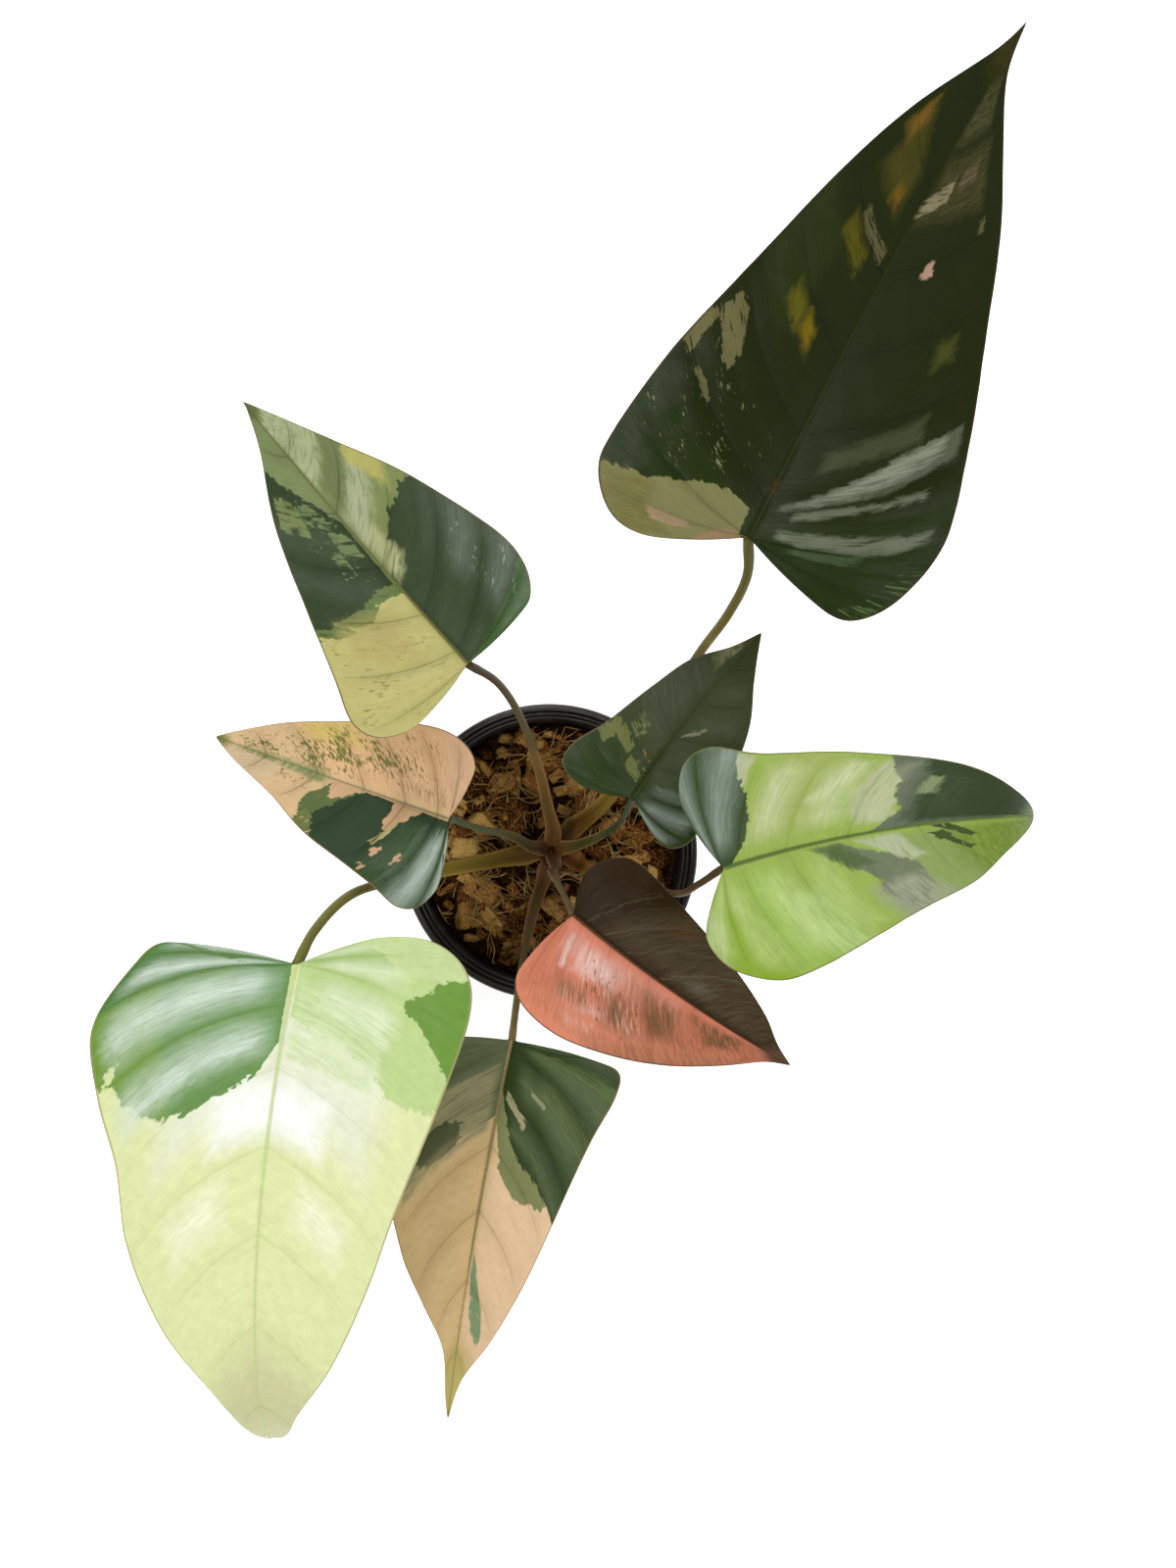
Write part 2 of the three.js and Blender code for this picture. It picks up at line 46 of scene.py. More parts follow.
POT_THROAT_RADIUS = 59.6
POT_BASE_RADIUS = 45
POT_SKIRT = 15
POT_WALL = 1.8
POT_FLOOR = 3
POT_SIDES = 144
DRAIN_HOLES = 6
DRAIN_RADIUS = 4.5
DRAIN_CIRCLE = 30
MIX_TOP = 90
MIX_BUMP = 1.6
HUSK_CHIPS = 46
HUSK_CLEAR_RADIUS = 18
HUSK_CEILING = 97
SMALL_CHIPS = 170
HUSK_TUFTS = 130
CROWN_RADIUS = 7.5
CROWN_FOOT = 76
CROWN_LOW = (1, 1, 96)
CROWN_HIGH = (1, 1, 100)
CROWN_DOME = 4  # how far the crown's round top rises over CROWN_HIGH
BLADE_THICKNESS = 0.9
MARGIN_THICKNESS = 0.45
MIDRIB_DEPTH = 1.6
MIDRIB_SPREAD = 1.7  # distance from the midrib over which it stands out below
GROOVE_DEPTH = 0.5  # depth of the groove over the midrib at the blade's base
GROOVE_SPREAD = 1.1
VEIN_RIDGE = 0.3  # how far the side veins stand out below
PUCKER = 0.35  # unevenness of the blade between its veins
PUCKER_SPACING = 9
MARGIN_WAVE = 1.2
FAN_SHARE = 0.3
VEIN_CROWDING = 1.4
VEIN_BOW = 0.16
STALK_TAPER = 0.6
SHEATH_SHARE = 0.45
SHEATH_CHANNEL = 0.6
CHANNEL_SPREAD = 0.6  # angle off the inner side over which the channel runs out, in radians
WING_TURN = 1.05  # angle of a sheath's wings off its inner side
WING_SPREAD = 0.2
WING_HEIGHTS = (0.75, 0.4)  # height of the wings at the foot and at their end, as a share of the radius
STALK_WAIST = 0.87  # radius of a stalk beyond its foot, as a share of the plain solid's
ROWS_PER_VEIN = 18
HALF_COLUMNS = 32
STALK_SIDES = 28
STALK_STEP = 1.6

# The camera looks straight down from CAMERA. Its focal length is FOCAL pixels where the image is
# IMAGE_HEIGHT pixels high.
CAMERA = (16.7, 29.3, 905)
FOCAL = 1895
IMAGE_HEIGHT = 1600
SENSOR = 36

# The eight leaves, as in the part's source: base, heading, turn, slopes (pitch), folds and arches place
# and bend the blade, left and right are its margins as [along, across], and foot and stalk are the
# course of the leaf stalk.
LEAVES = {
    "upper_right": dict(
        base=(74, 117, 245), heading=63.6, turn=-4.2, length=240, pitch=(-4, -5, -24), bend=1.5,
        fold=(14, 10), arch=(26, 18), half_width=62, lobe=40, veins=10, wave=3,
        left=[(0, 2), (-9, 15), (-17, 34), (-15, 48), (-3, 59), (11, 61), (43, 56), (82, 46), (131, 34),
              (175, 21), (218, 5), (240, 0)],
        right=[(0, 2), (-6, 16), (-13, 37), (-9, 49), (6, 59), (31, 64), (64, 56), (98, 46), (141, 32),
               (179, 16), (211, 4), (240, 0)],
        foot=(CROWN_LOW, 45, 0), radius=(3.1, 2.1),
        stalk=[(25, 23, 121), (42, 51, 148), (60, 80, 178), (70, 94, 203), (75, 106, 226)]),
    "upper_left": dict(
        base=(-27, 73, 232), heading=132, turn=-2.5, length=142, pitch=(4, -7, -28), bend=1.4,
        fold=(14, 12), arch=(24, 18), half_width=44, lobe=28, veins=8, wave=2,
        left=[(0, 2), (-3, 17), (-5, 30), (1, 42), (12, 46), (29, 40), (55, 31), (88, 20), (117, 7),
              (136, 1), (142, 0)],
        right=[(0, 2), (1, 10), (0, 22), (2, 33), (14, 40), (32, 40), (67, 30), (97, 18), (127, 6),
               (142, 0)],
        foot=(CROWN_HIGH, 85, 45), radius=(2.5, 1.7),
        stalk=[(0, 19, 117), (-3, 35, 140), (-7, 48, 163), (-12, 60, 187), (-18, 68, 209)]),
    "left": dict(
        base=(-37, 16, 190), heading=161.5, turn=-0.5, length=104, pitch=(0, -8, -24), bend=1.4,
        fold=(14, 10), arch=(24, 16), half_width=36, lobe=24, veins=8, wave=2,
        left=[(0, 2), (-2, 11), (-5, 25), (0, 36), (9, 39), (21, 34), (35, 29), (53, 23), (71, 14),
              (92, 6), (104, 0)],
        right=[(0, 2), (-3, 11), (-4, 22), (2, 29), (14, 32), (33, 29), (53, 22), (74, 15), (93, 6),
               (104, 0)],
        foot=(CROWN_HIGH, 170, 45), radius=(2.3, 1.5), stalk=[(-15, 7, 124), (-26, 11, 155)]),
    "inner_right": dict(
        base=(34, 24, 196), heading=56.6, turn=-9.4, length=83, pitch=(4, -2, -20), bend=1.4,
        fold=(14, 12), arch=(24, 18), half_width=28, lobe=22, veins=8, wave=2,
        left=[(0, 2), (-4, 8), (-7, 20), (-4, 30), (5, 31), (18, 25), (38, 19), (55, 14), (70, 5), (83, 0)],
        right=[(0, 2), (-5, 8), (-9, 20), (-3, 27), (10, 28), (29, 26), (49, 20), (64, 11), (74, 5),
               (83, 0)],
        foot=(CROWN_HIGH, 10, 45), radius=(2.3, 1.4), stalk=[(17, 5, 122), (24, 9, 142), (30, 15, 170)]),
    "right": dict(
        base=(67, -2, 216), heading=17.5, turn=-19.8, length=141, pitch=(0, -5, -74), bend=4,
        fold=(12, 4), arch=(24, 24), half_width=44, lobe=28, veins=8, wave=3,
        left=[(0, 2), (-6, 15), (-8, 29), (-3, 41), (8, 45), (25, 37), (55, 31), (85, 24), (104, 18),
              (124, 9), (136, 3), (141, 0)],
        right=[(0, 2), (-9, 12), (-14, 24), (-7, 38), (10, 47), (30, 45), (57, 38), (79, 30), (98, 23),
               (115, 13), (135, 3), (141, 0)],
        foot=(CROWN_LOW, -25, 0), radius=(3, 1.6),
        stalk=[(17, -7, 109), (35, -11, 140), (52, -14, 172), (59, -9, 195)]),
    "lower_right": dict(
        base=(11, -22, 180), heading=-40.3, turn=9.1, length=116, pitch=(-2, -10, -30), bend=1.4,
        fold=(20, 16), arch=(22, 18), half_width=36, lobe=22, veins=8, wave=2,
        left=[(0, 2), (-5, 8), (-8, 18), (-5, 26), (2, 32), (17, 32), (46, 27), (69, 21), (90, 13),
              (104, 5), (116, 0)],
        right=[(0, 2), (-2, 10), (-4, 24), (-2, 34), (7, 40), (24, 41), (44, 35), (64, 26), (86, 14),
               (103, 4), (116, 0)],
        foot=(CROWN_HIGH, -75, 50), radius=(2.3, 1.5), stalk=[(2, -8, 122), (7, -16, 152)]),
    "lower_left": dict(
        base=(-92, -38, 214), heading=-102.1, turn=14.2, length=229, pitch=(0, -5, -76), bend=3.6,
        fold=(10, 5), arch=(28, 24), half_width=68, lobe=40, veins=10, wave=3,
        left=[(0, 2), (-7, 11), (-17, 29), (-19, 49), (-9, 64), (11, 68), (50, 61), (92, 51), (124, 43),
              (159, 30), (189, 15), (210, 8), (229, 0)],
        right=[(0, 2), (3, 13), (2, 31), (2, 50), (13, 61), (38, 74), (60, 68), (85, 57), (115, 51),
               (144, 37), (175, 18), (206, 7), (229, 0)],
        foot=(CROWN_LOW, 190, 0), radius=(3.2, 2.2),
        stalk=[(-33, -5, 109), (-60, -10, 134), (-78, -15, 168), (-88, -27, 195)]),
    "bottom": dict(
        base=(-14, -74, 160), heading=-102.1, turn=4.4, length=188, pitch=(-4, -12, -30), bend=1.3,
        fold=(14, 12), arch=(24, 18), half_width=44, lobe=24, veins=9, wave=2,
        left=[(0, 2), (3, 10), (0, 29), (2, 44), (13, 46), (35, 40), (66, 33), (105, 24), (138, 14),
              (163, 4), (188, 0)],
        right=[(0, 2), (3, 10), (2, 20), (4, 29), (18, 43), (44, 43), (73, 38), (101, 28), (123, 17),
               (147, 6), (176, 2), (188, 0)],
        foot=(CROWN_LOW, -105, 0), radius=(2.7, 1.7),
        stalk=[(-7, -26, 107), (-11, -46, 121), (-13, -63, 142)]),
}

# How strongly each blade is pleated at its base and at its tip, and the share that its finer veins have
PLEATS = {
    "upper_right": (0.75, 0.2, 0.4),
    "upper_left": (0.55, 0.3, 0.4),
    "left": (0.5, 0.18, 0.3),
    "inner_right": (0.38, 0.16, 0.3),
    "right": (0.5, 0.24, 0.3),
    "lower_right": (0.34, 0.18, 0.3),
    "lower_left": (0.7, 0.14, 0.3),
    "bottom": (0.5, 0.22, 0.3),
}


# Small helpers
def mix(a, b, share):
    return a + (b - a) * share


def smooth(low, high, value):
    """0 below low, 1 above high, and an even rise between them."""
    share = np.clip((value - low) / (high - low), 0, 1)
    return share * share * (3 - 2 * share)


def seeded(seed):
    """The same numbers between 0 and 1 as the part's source draws."""
    state = seed
    while True:
        state = (state * 1664525 + 1013904223) % 4294967296
        yield state / 4294967296


def unit(vectors):
    return vectors / np.linalg.norm(vectors, axis=-1, keepdims=True)


def even_angles(sides):
    """Angles at even steps round a full turn."""
    return np.linspace(0, 2 * np.pi, sides, endpoint=False)


def half_turns(angle):
    """The same direction, as an angle from minus to plus half a turn."""
    return (angle + np.pi) % (2 * np.pi) - np.pi


def hermite(start, end, leave, arrive, t):
    """The cubic curve from start to end that leaves and arrives with these slopes."""
    cubed = 2 * start - 2 * end + leave + arrive
    squared = 3 * end - 3 * start - 2 * leave - arrive
    return cubed * t**3 + squared * t**2 + leave * t + start


def run_along(curve):
    """How far along a curve each of its points lies."""
    return np.concatenate([[0], np.cumsum(np.linalg.norm(np.diff(curve, axis=0), axis=1))])


def outer_radius(height):
    return mix(POT_BASE_RADIUS, POT_THROAT_RADIUS, height / POT_HEIGHT)


def inner_radius(height):
    return outer_radius(height) - POT_WALL


def piece(name, points, faces, material, node, maps=None, slots=None):
    """A smooth mesh object from points in millimetres that stands for the CAD node and rides with it.

    maps gives each UV map one (u, v) pair a vertex. material may be a list, with slots then saying
    which of them each face takes.
    """
    mesh = bpy.data.meshes.new(name)
    mesh.from_pydata(np.asarray(points, float) * MM, [], faces)
    corners = np.zeros(len(mesh.loops), np.int32)
    mesh.loops.foreach_get("vertex_index", corners)
    for label, values in (maps or {}).items():
        layer = mesh.uv_layers.new(name=label)
        layer.uv.foreach_set("vector", np.asarray(values, np.float32)[corners].ravel())
    if slots is not None:
        mesh.polygons.foreach_set("material_index", np.asarray(slots, np.int32))
    mesh.polygons.foreach_set("use_smooth", np.ones(len(mesh.polygons), bool))
    closing = bmesh.new()
    closing.from_mesh(mesh)
    bmesh.ops.remove_doubles(closing, verts=closing.verts, dist=2e-6)
    bmesh.ops.recalc_face_normals(closing, faces=closing.faces)
    closing.to_mesh(mesh)
    closing.free()
    for each in material if isinstance(material, list) else [material]:
        mesh.materials.append(each)
    made = bpy.data.objects.new(name, mesh)
    bpy.context.scene.collection.objects.link(made)
    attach(made, "root")
    if node:
        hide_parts(node)
    return made


def tube_faces(rings, sides, caps=True, first=0):
    """Quads between rings of the same number of sides, with the two ends closed."""
    faces = []
    for ring in range(rings - 1):
        for k in range(sides):
            a = first + ring * sides + k
            b = first + ring * sides + (k + 1) % sides
            faces.append((a, b, b + sides, a + sides))
    if caps:
        faces.append(tuple(first + k for k in reversed(range(sides))))
        faces.append(tuple(first + (rings - 1) * sides + k for k in range(sides)))
    return faces


# Shape of a blade
def spline(points, steps=40):
    """Points of a uniform Catmull-Rom curve, with each one's share of the length."""
    given = np.array(points, float)
    last = len(given) - 1
    parts = []
    for i in range(last):
        before, start, end, after = given[[max(i - 1, 0), i, i + 1, min(i + 2, last)]]
        t = np.linspace(0, 1, steps, endpoint=False)[:, None]
        parts.append(hermite(start, end, (end - before) / 2, (after - start) / 2, t))
    curve = np.concatenate(parts + [given[-1:]])
    run = run_along(curve)
    return curve, run / run[-1]


class BladeSurface:
    """The bent surface of one blade, from [along, across] on the flat leaf to space."""

    def __init__(self, leaf):
        self.leaf = leaf
        self.steps = np.arange(-leaf["lobe"], leaf["length"] + 1)
        strides = self.forward(self.steps[:-1] + 0.5)
        course = np.concatenate([[[0, 0, 0]], np.cumsum(strides, 0)])
        self.spine = course - course[leaf["lobe"]] + np.array(leaf["base"], float)

    def slope(self, along):
        back, base, tip = self.leaf["pitch"]
        ahead = np.clip(along / self.leaf["length"], 0, 1) ** self.leaf["bend"]
        behind = np.clip(-along / self.leaf["lobe"], 0, 1)
        return np.radians(np.where(along < 0, mix(base, back, behind), mix(base, tip, ahead)))

    def course(self, along):
        share = np.clip(along / self.leaf["length"], 0, 1)
        return np.radians(self.leaf["heading"] + self.leaf["turn"] * share)

    def forward(self, along):
        slope, course = self.slope(along), self.course(along)
        flat = np.cos(slope)
        return np.stack([flat * np.cos(course), flat * np.sin(course), np.sin(slope)], -1)

    def frame(self, along):
        course = self.course(along)
        across = np.stack([-np.sin(course), np.cos(course), 0 * course], -1)
        return across, np.cross(self.forward(along), across)

    def point(self, along, across, lift):
        """The point lift above the flat leaf's point, on the side of the sign of across."""
        leaf = self.leaf
        share = np.clip(along / leaf["length"], 0, 1)
        sideways, up = self.frame(along)
        rise = np.radians(mix(*leaf["fold"], share))
        curl = np.radians(mix(*leaf["arch"], share)) / leaf["half_width"]
        angle = rise - curl * np.abs(across)
        side = np.sign(across) * (np.sin(rise) - np.sin(angle)) / curl
        height = (np.cos(angle) - np.cos(rise)) / curl
        normal = up * np.cos(angle)[..., None] - sideways * (np.sign(across) * np.sin(angle))[..., None]
        middle = np.stack([np.interp(along, self.steps, self.spine[:, k]) for k in range(3)], -1)
        return middle + sideways * side[..., None] + up * height[..., None] + normal * lift[..., None]


def flat_place(leaf, margin, row, column):
    """Where row (share of the margin) and column (midrib 0 to margin 1) lie on the flat leaf."""
    curve, run = margin
    root = leaf["length"] * (np.maximum(row - FAN_SHARE, 0) / (1 - FAN_SHARE)) ** VEIN_CROWDING
    end_x = np.interp(row, run, curve[:, 0])
    end_y = np.interp(row, run, curve[:, 1])
    bow = VEIN_BOW * np.minimum(row / FAN_SHARE, 1)
    control_x = (root + end_x) / 2 - end_y * bow
    control_y = end_y / 2 + (end_x - root) * bow
    rest = 1 - column
    along = rest * rest * root + 2 * rest * column * control_x + column * column * end_x
    return along, 2 * rest * column * control_y + column * column * end_y


def crease(phase):
    """A valley with a crisp floor at whole numbers of phase, and a round swell between them."""
    return 2 * np.abs(np.sin(np.pi * phase)) ** 0.8 - 1


def blade_lift(leaf, pleats, row, column):
    """Main veins in creases, weaker ones between them, and a waved margin."""
    basal, tip, fine = pleats
    swell = (1 - fine) * crease(leaf["veins"] * row) + fine * crease(2 * leaf["veins"] * row)
    relief = mix(basal, tip, smooth(0.35, 0.65, row)) * np.sin(np.pi * np.clip(column, 0, 1)) ** 0.7
    wave = MARGIN_WAVE * np.sin(2 * np.pi * leaf["wave"] * row) * column**3
    return (relief * swell + wave) * np.sin(np.pi * row)


def pucker(along, across, seed):
    """A slight unevenness of the blade between its veins."""
    places = zip((along / PUCKER_SPACING).ravel(), (across / PUCKER_SPACING).ravel())
    rough = [noise.noise(Vector((x, y, seed))) for x, y in places]
    return PUCKER * np.array(rough).reshape(along.shape)


def blade_sheet(leaf, pleats, seed):
    """Rows by columns (left margin to right margin) of flat places and upper and lower surface points."""
    rows = ROWS_PER_VEIN * leaf["veins"]
    share = np.linspace(0, 1, HALF_COLUMNS + 1)
    graded = share * share * (3 - 2 * share)
    signed = np.concatenate([graded[::-1], -graded[1:]])
    row, column = np.meshgrid(np.linspace(0, 1, rows + 1), signed, indexing="ij")
    size = np.abs(column)
    left = flat_place(leaf, spline(leaf["left"]), row, size)
    right = flat_place(leaf, spline(leaf["right"]), row, size)
    along = np.where(column >= 0, left[0], right[0])
    across = np.where(column >= 0, left[1], -right[1])
    surface = BladeSurface(leaf)
    lift = blade_lift(leaf, pleats, row, size)
    lift += pucker(along, across, seed) * np.sin(np.pi * row) * np.minimum(size * 6, 1)
    onward = np.clip(along / leaf["length"], 0, 1)
    from_rib = np.hypot(np.minimum(along, 0), across)
    groove = GROOVE_DEPTH * (1 - onward) * np.exp(-((from_rib / GROOVE_SPREAD) ** 2))
    rib = MIDRIB_DEPTH * (1 - 0.8 * onward) * np.exp(-((from_rib / (MIDRIB_SPREAD - onward)) ** 2))
    thick = mix(BLADE_THICKNESS, MARGIN_THICKNESS, size**2)
    ridge = VEIN_RIDGE * np.exp(-((np.abs(np.sin(np.pi * leaf["veins"] * row)) / 0.16) ** 2))
    ridge *= np.sin(np.pi * row) * (1 - size**3)
    upper = surface.point(along, across, lift - groove)
    lower = surface.point(along, across, lift - thick - rib - ridge)
    return row, column, along, across, upper, lower


def blade_piece(name, leaf, seed, materials):
    """The blade as one closed sheet with a round margin; its underside takes the second material."""
    row, column, along, across, upper, lower = blade_sheet(leaf, PLEATS[name], seed)
    rings, width = row.shape

    def edge(side, inside):
        outward = upper[:, side] - upper[:, inside]
        length = np.linalg.norm(outward, axis=1, keepdims=True)
        outward = np.where(length > 1e-3, outward / np.maximum(length, 1e-9), 0)
        return (upper[:, side] + lower[:, side]) / 2 + outward * MARGIN_THICKNESS / 2

    right_edge = edge(-1, -2)
    left_edge = edge(0, 1)
    points = np.concatenate([upper, right_edge[:, None], lower[:, ::-1], left_edge[:, None]], axis=1)

    def around(values):
        return np.concatenate([values, values[:, -1:], values[:, ::-1], values[:, :1]], axis=1)

    sides = points.shape[1]
    faces = tube_faces(rings, sides, caps=False)
    slots = [1 if width < k < 2 * width + 1 else 0 for k in range(sides)] * (rings - 1)
    for k in range(width - 1):
        faces.append((k + 1, k, 2 * width - k, 2 * width - 1 - k))
        slots.append(0)
    faces += [(width, width - 1, width + 1), (0, 2 * width + 1, 2 * width)]
    slots += [0, 0]
    vein_map = np.stack([around(row), 0.5 + 0.5 * around(column)], -1)
    flat_map = np.stack([around(along), around(across)], -1) / 100
    maps = {"Vein": vein_map.reshape(-1, 2), "Flat": flat_map.reshape(-1, 2)}
    piece(f"leaf_blade_{name}", points.reshape(-1, 3), faces, materials, f"blade_{name}",
          maps, slots)


# Leaf stalks
def centripetal(points, steps=30):
    """Points of a centripetal Catmull-Rom curve through points."""
    given = np.array(points, float)
    whole = np.concatenate([[2 * given[0] - given[1]], given, [2 * given[-1] - given[-2]]])
    t = np.linspace(0, 1, steps, endpoint=False)[:, None]
    parts = []
    for before, start, end, after in zip(whole, whole[1:], whole[2:], whole[3:]):
        pairs = ((before, start), (start, end), (end, after))
        near, span, far = [math.sqrt(math.dist(a, b)) for a, b in pairs]
        leave = (start - before) / near - (end - before) / (near + span) + (end - start) / span
        arrive = (end - start) / span - (after - start) / (span + far) + (after - end) / far
        parts.append(hermite(start, end, leave * span, arrive * span, t))
    return np.concatenate(parts + [given[-1:]])


def evenly(curve, count):
    """count points at even distances along a curve, with their directions and the curve's length."""
    run = run_along(curve)
    places = np.linspace(0, run[-1], count)
    points = np.stack([np.interp(places, run, curve[:, k]) for k in range(3)], -1)
    return points, unit(np.gradient(points, axis=0)), run[-1]


def stalk_course(leaf, start):
    """The stalk's course from start millimetres off the crown's axis to the blade's base."""
    level, azimuth, elevation = leaf["foot"]
    azimuth, elevation = math.radians(azimuth), math.radians(elevation)
    outward = np.array([math.cos(elevation) * math.cos(azimuth), math.cos(elevation) * math.sin(azimuth),
                        math.sin(elevation)])
    across = np.array([-math.sin(azimuth), math.cos(azimuth), 0])
    foot = np.array(level) + outward * (CROWN_RADIUS + GAP)
    up = BladeSurface(leaf).frame(np.zeros(1))[1][0]
    top = np.array(leaf["base"]) - up * (BLADE_THICKNESS + MIDRIB_DEPTH + GAP)
    inside = [np.array(level) + outward * start] if start < CROWN_RADIUS else []
    path = centripetal([*inside, foot, foot + outward * 6, *leaf["stalk"], top])
    return path, across, up


def stalk_piece(name, leaf, seed, material):
    """A round stalk with a broad sheath at its foot, which opens in a channel between two thin wings."""
    start = 2.5 if leaf["foot"][0] == CROWN_HIGH else 5
    path, across, up = stalk_course(leaf, start)
    centres, tangents, length = evenly(path, int(run_along(path)[-1] / STALK_STEP))
    rings = len(centres)
    share = np.linspace(0, 1, rings)[:, None]
    angle = even_angles(STALK_SIDES)[None, :]
    signed = half_turns(angle)
    inner = unit(np.cross(tangents, across))
    side = unit(np.cross(inner, tangents))
    radius = mix(*leaf["radius"], np.minimum(share / STALK_TAPER, 1))
    opened = np.clip(2 * (1 - share / SHEATH_SHARE), 0, 1)
    channel = SHEATH_CHANNEL * opened * np.exp(-((signed / CHANNEL_SPREAD) ** 2))
    wing_height = smooth(0, 0.05, share) * (1 - smooth(SHEATH_SHARE - 0.01, SHEATH_SHARE + 0.02, share))
    wing_height *= mix(*WING_HEIGHTS, share / SHEATH_SHARE)
    wing = wing_height * np.exp(-(((np.abs(signed) - WING_TURN) / WING_SPREAD) ** 2))
    flare = 1 + 0.35 * np.exp(-share / 0.05)
    knuckle = 1 + 0.12 * np.exp(-(((share - 0.965) / 0.03) ** 2))
    ribbing = 1 + 0.02 * np.sin(9 * angle + 3 * math.sin(seed))
    waist = mix(1, STALK_WAIST, smooth(0.03, 0.15, share))
    reach = radius * (1 - channel + wing) * knuckle * ribbing * waist
    points = (centres[:, None] + inner[:, None] * (reach * np.cos(angle))[..., None]
              - side[:, None] * (reach * flare * np.sin(angle))[..., None])
    top = centres[-1] + up * (GAP + MIDRIB_DEPTH * 0.6)
    tangent = tangents[-1]
    last = points[-1] - top
    points[-1] -= tangent * ((last @ up) / (tangent @ up))[:, None]
    pairs = {
        "Stalk": (share, signed / (2 * np.pi) + 0.5),
        "Length": (share * length / 100, angle * radius / 100),
    }
    maps = {label: np.stack(np.broadcast_arrays(*pair), -1).reshape(-1, 2) for label, pair in pairs.items()}
    faces = tube_faces(rings, STALK_SIDES)
    piece(f"leaf_stalk_{name}", points.reshape(-1, 3), faces, material, f"petiole_{name}",
          maps)


def crown_piece(material):
    """The short stem between the sheaths, with a low star-shaped top whose arms run into the stalks."""
    sides = 96
    profile = [(0.5, CROWN_FOOT), (CROWN_RADIUS - 2, CROWN_FOOT), (CROWN_RADIUS, CROWN_FOOT + 3)]
    profile += [(CROWN_RADIUS, height) for height in np.linspace(CROWN_FOOT + 6, CROWN_HIGH[2] - 2, 12)]
    for turn in np.linspace(0, math.pi / 2, 16)[:-1]:
        profile.append((CROWN_RADIUS * math.cos(turn) ** 1.2, CROWN_HIGH[2] + CROWN_DOME * math.sin(turn)))
    radius, height = np.array(profile).T[:, :, None]
    angle = even_angles(sides)
    arms = np.zeros(sides)
    for leaf in LEAVES.values():
        off = half_turns(angle - math.radians(leaf["foot"][1]))
        arms = np.maximum(arms, np.exp(-((off / 0.2) ** 2)))
    rim = smooth(0, 3, radius)
    scar = 0.3 * np.sin(height * 2.1 + angle) + 0.2 * np.sin(5 * angle - height * 0.9)
    dip = (1 - arms) * rim * smooth(CROWN_HIGH[2] - 4, CROWN_HIGH[2] + 2, height)
    reach = np.clip(radius - 0.4 + scar * rim - 1.6 * dip, 0.1, CROWN_RADIUS)
    points = np.stack([CROWN_LOW[0] + reach * np.cos(angle), CROWN_LOW[1] + reach * np.sin(angle),
                       height - 1.2 * dip], -1)
    piece("crown_stem", points.reshape(-1, 3), tube_faces(len(profile), sides), material,
          "crown")


# Pot
def turned(profile, sides):
    """Points and faces of a closed body of revolution whose profile starts and ends on the axis."""
    angle = even_angles(sides)
    radius, height = np.array(profile, float).T
    points = np.stack([radius[:, None] * np.cos(angle), radius[:, None] * np.sin(angle),
                       np.broadcast_to(height[:, None], (len(profile), sides))], -1)
    return points.reshape(-1, 3), tube_faces(len(profile), sides)


def rounded(profile, size, steps=3):
    """The profile with each corner replaced by a short arc that starts size millimetres from it."""
    given = np.array(profile, float)
    made = [given[0]]
    for before, corner, after in zip(given, given[1:], given[2:]):
        arms = []
        for end in (before, after):
            reach = np.linalg.norm(end - corner)
            arms.append(corner + (end - corner) / reach * min(size, reach * 0.4))
        for share in np.linspace(0, 1, steps + 1):
            made.append(mix(mix(arms[0], corner, share), mix(corner, arms[1], share), share))
    return made + [given[-1]]


def pot_piece(material):
    """The nursery pot: tapered wall, rim with a hanging skirt, stepped throat and drain holes."""
    rim, top = POT_RIM_RADIUS, POT_HEIGHT
    profile = [
        (0.01, 0.6), (POT_BASE_RADIUS - 12, 0.6), (POT_BASE_RADIUS - 11, 0), (POT_BASE_RADIUS - 2, 0),
        (POT_BASE_RADIUS, 2), (outer_radius(top - 5.5), top - 5.5), (rim - 2.6, top - 4.8),
        (rim - 3, top - POT_SKIRT), (rim - 1.4, top - POT_SKIRT), (rim - 0.6, top - 5), (rim, top - 2.4),
        (rim - 0.5, top - 0.5), (rim - 1.8, top), (rim - 3, top - 0.4), (rim - 3.4, top - 2),
        (rim - 3.6, top - 3.6), (rim - 4.8, top - 4), (rim - 5.1, top - 7), (rim - 6.2, top - 7.4),
        (inner_radius(top - 9), top - 9), (inner_radius(POT_FLOOR), POT_FLOOR), (0.01, POT_FLOOR),
    ]
    points, faces = turned(rounded(profile, 0.5), POT_SIDES)
    pot = piece("pot_shell", points, faces, material, "pot")
    for i in range(DRAIN_HOLES):
        angle = 2 * math.pi * (i + 0.5) / DRAIN_HOLES
        bpy.ops.mesh.primitive_cylinder_add(
            vertices=40, radius=DRAIN_RADIUS * MM, depth=12 * MM,
            location=(DRAIN_CIRCLE * math.cos(angle) * MM, DRAIN_CIRCLE * math.sin(angle) * MM, 0))
        drill = bpy.context.object
        cut = pot.modifiers.new("drain", "BOOLEAN")
        cut.operation = "DIFFERENCE"
        cut.object = drill
        bpy.context.view_layer.objects.active = pot
        bpy.ops.object.modifier_apply(modifier=cut.name)
        bpy.data.objects.remove(drill)


# Chopped coconut husk
CORNERS = [(1, 1, 1), (1, 1, -1), (1, -1, 1), (1, -1, -1), (-1, 1, -1), (-1, 1, 1), (-1, -1, -1), (-1, -1, 1)]
GOLDEN_ANGLE = math.pi * (3 - math.sqrt(5))

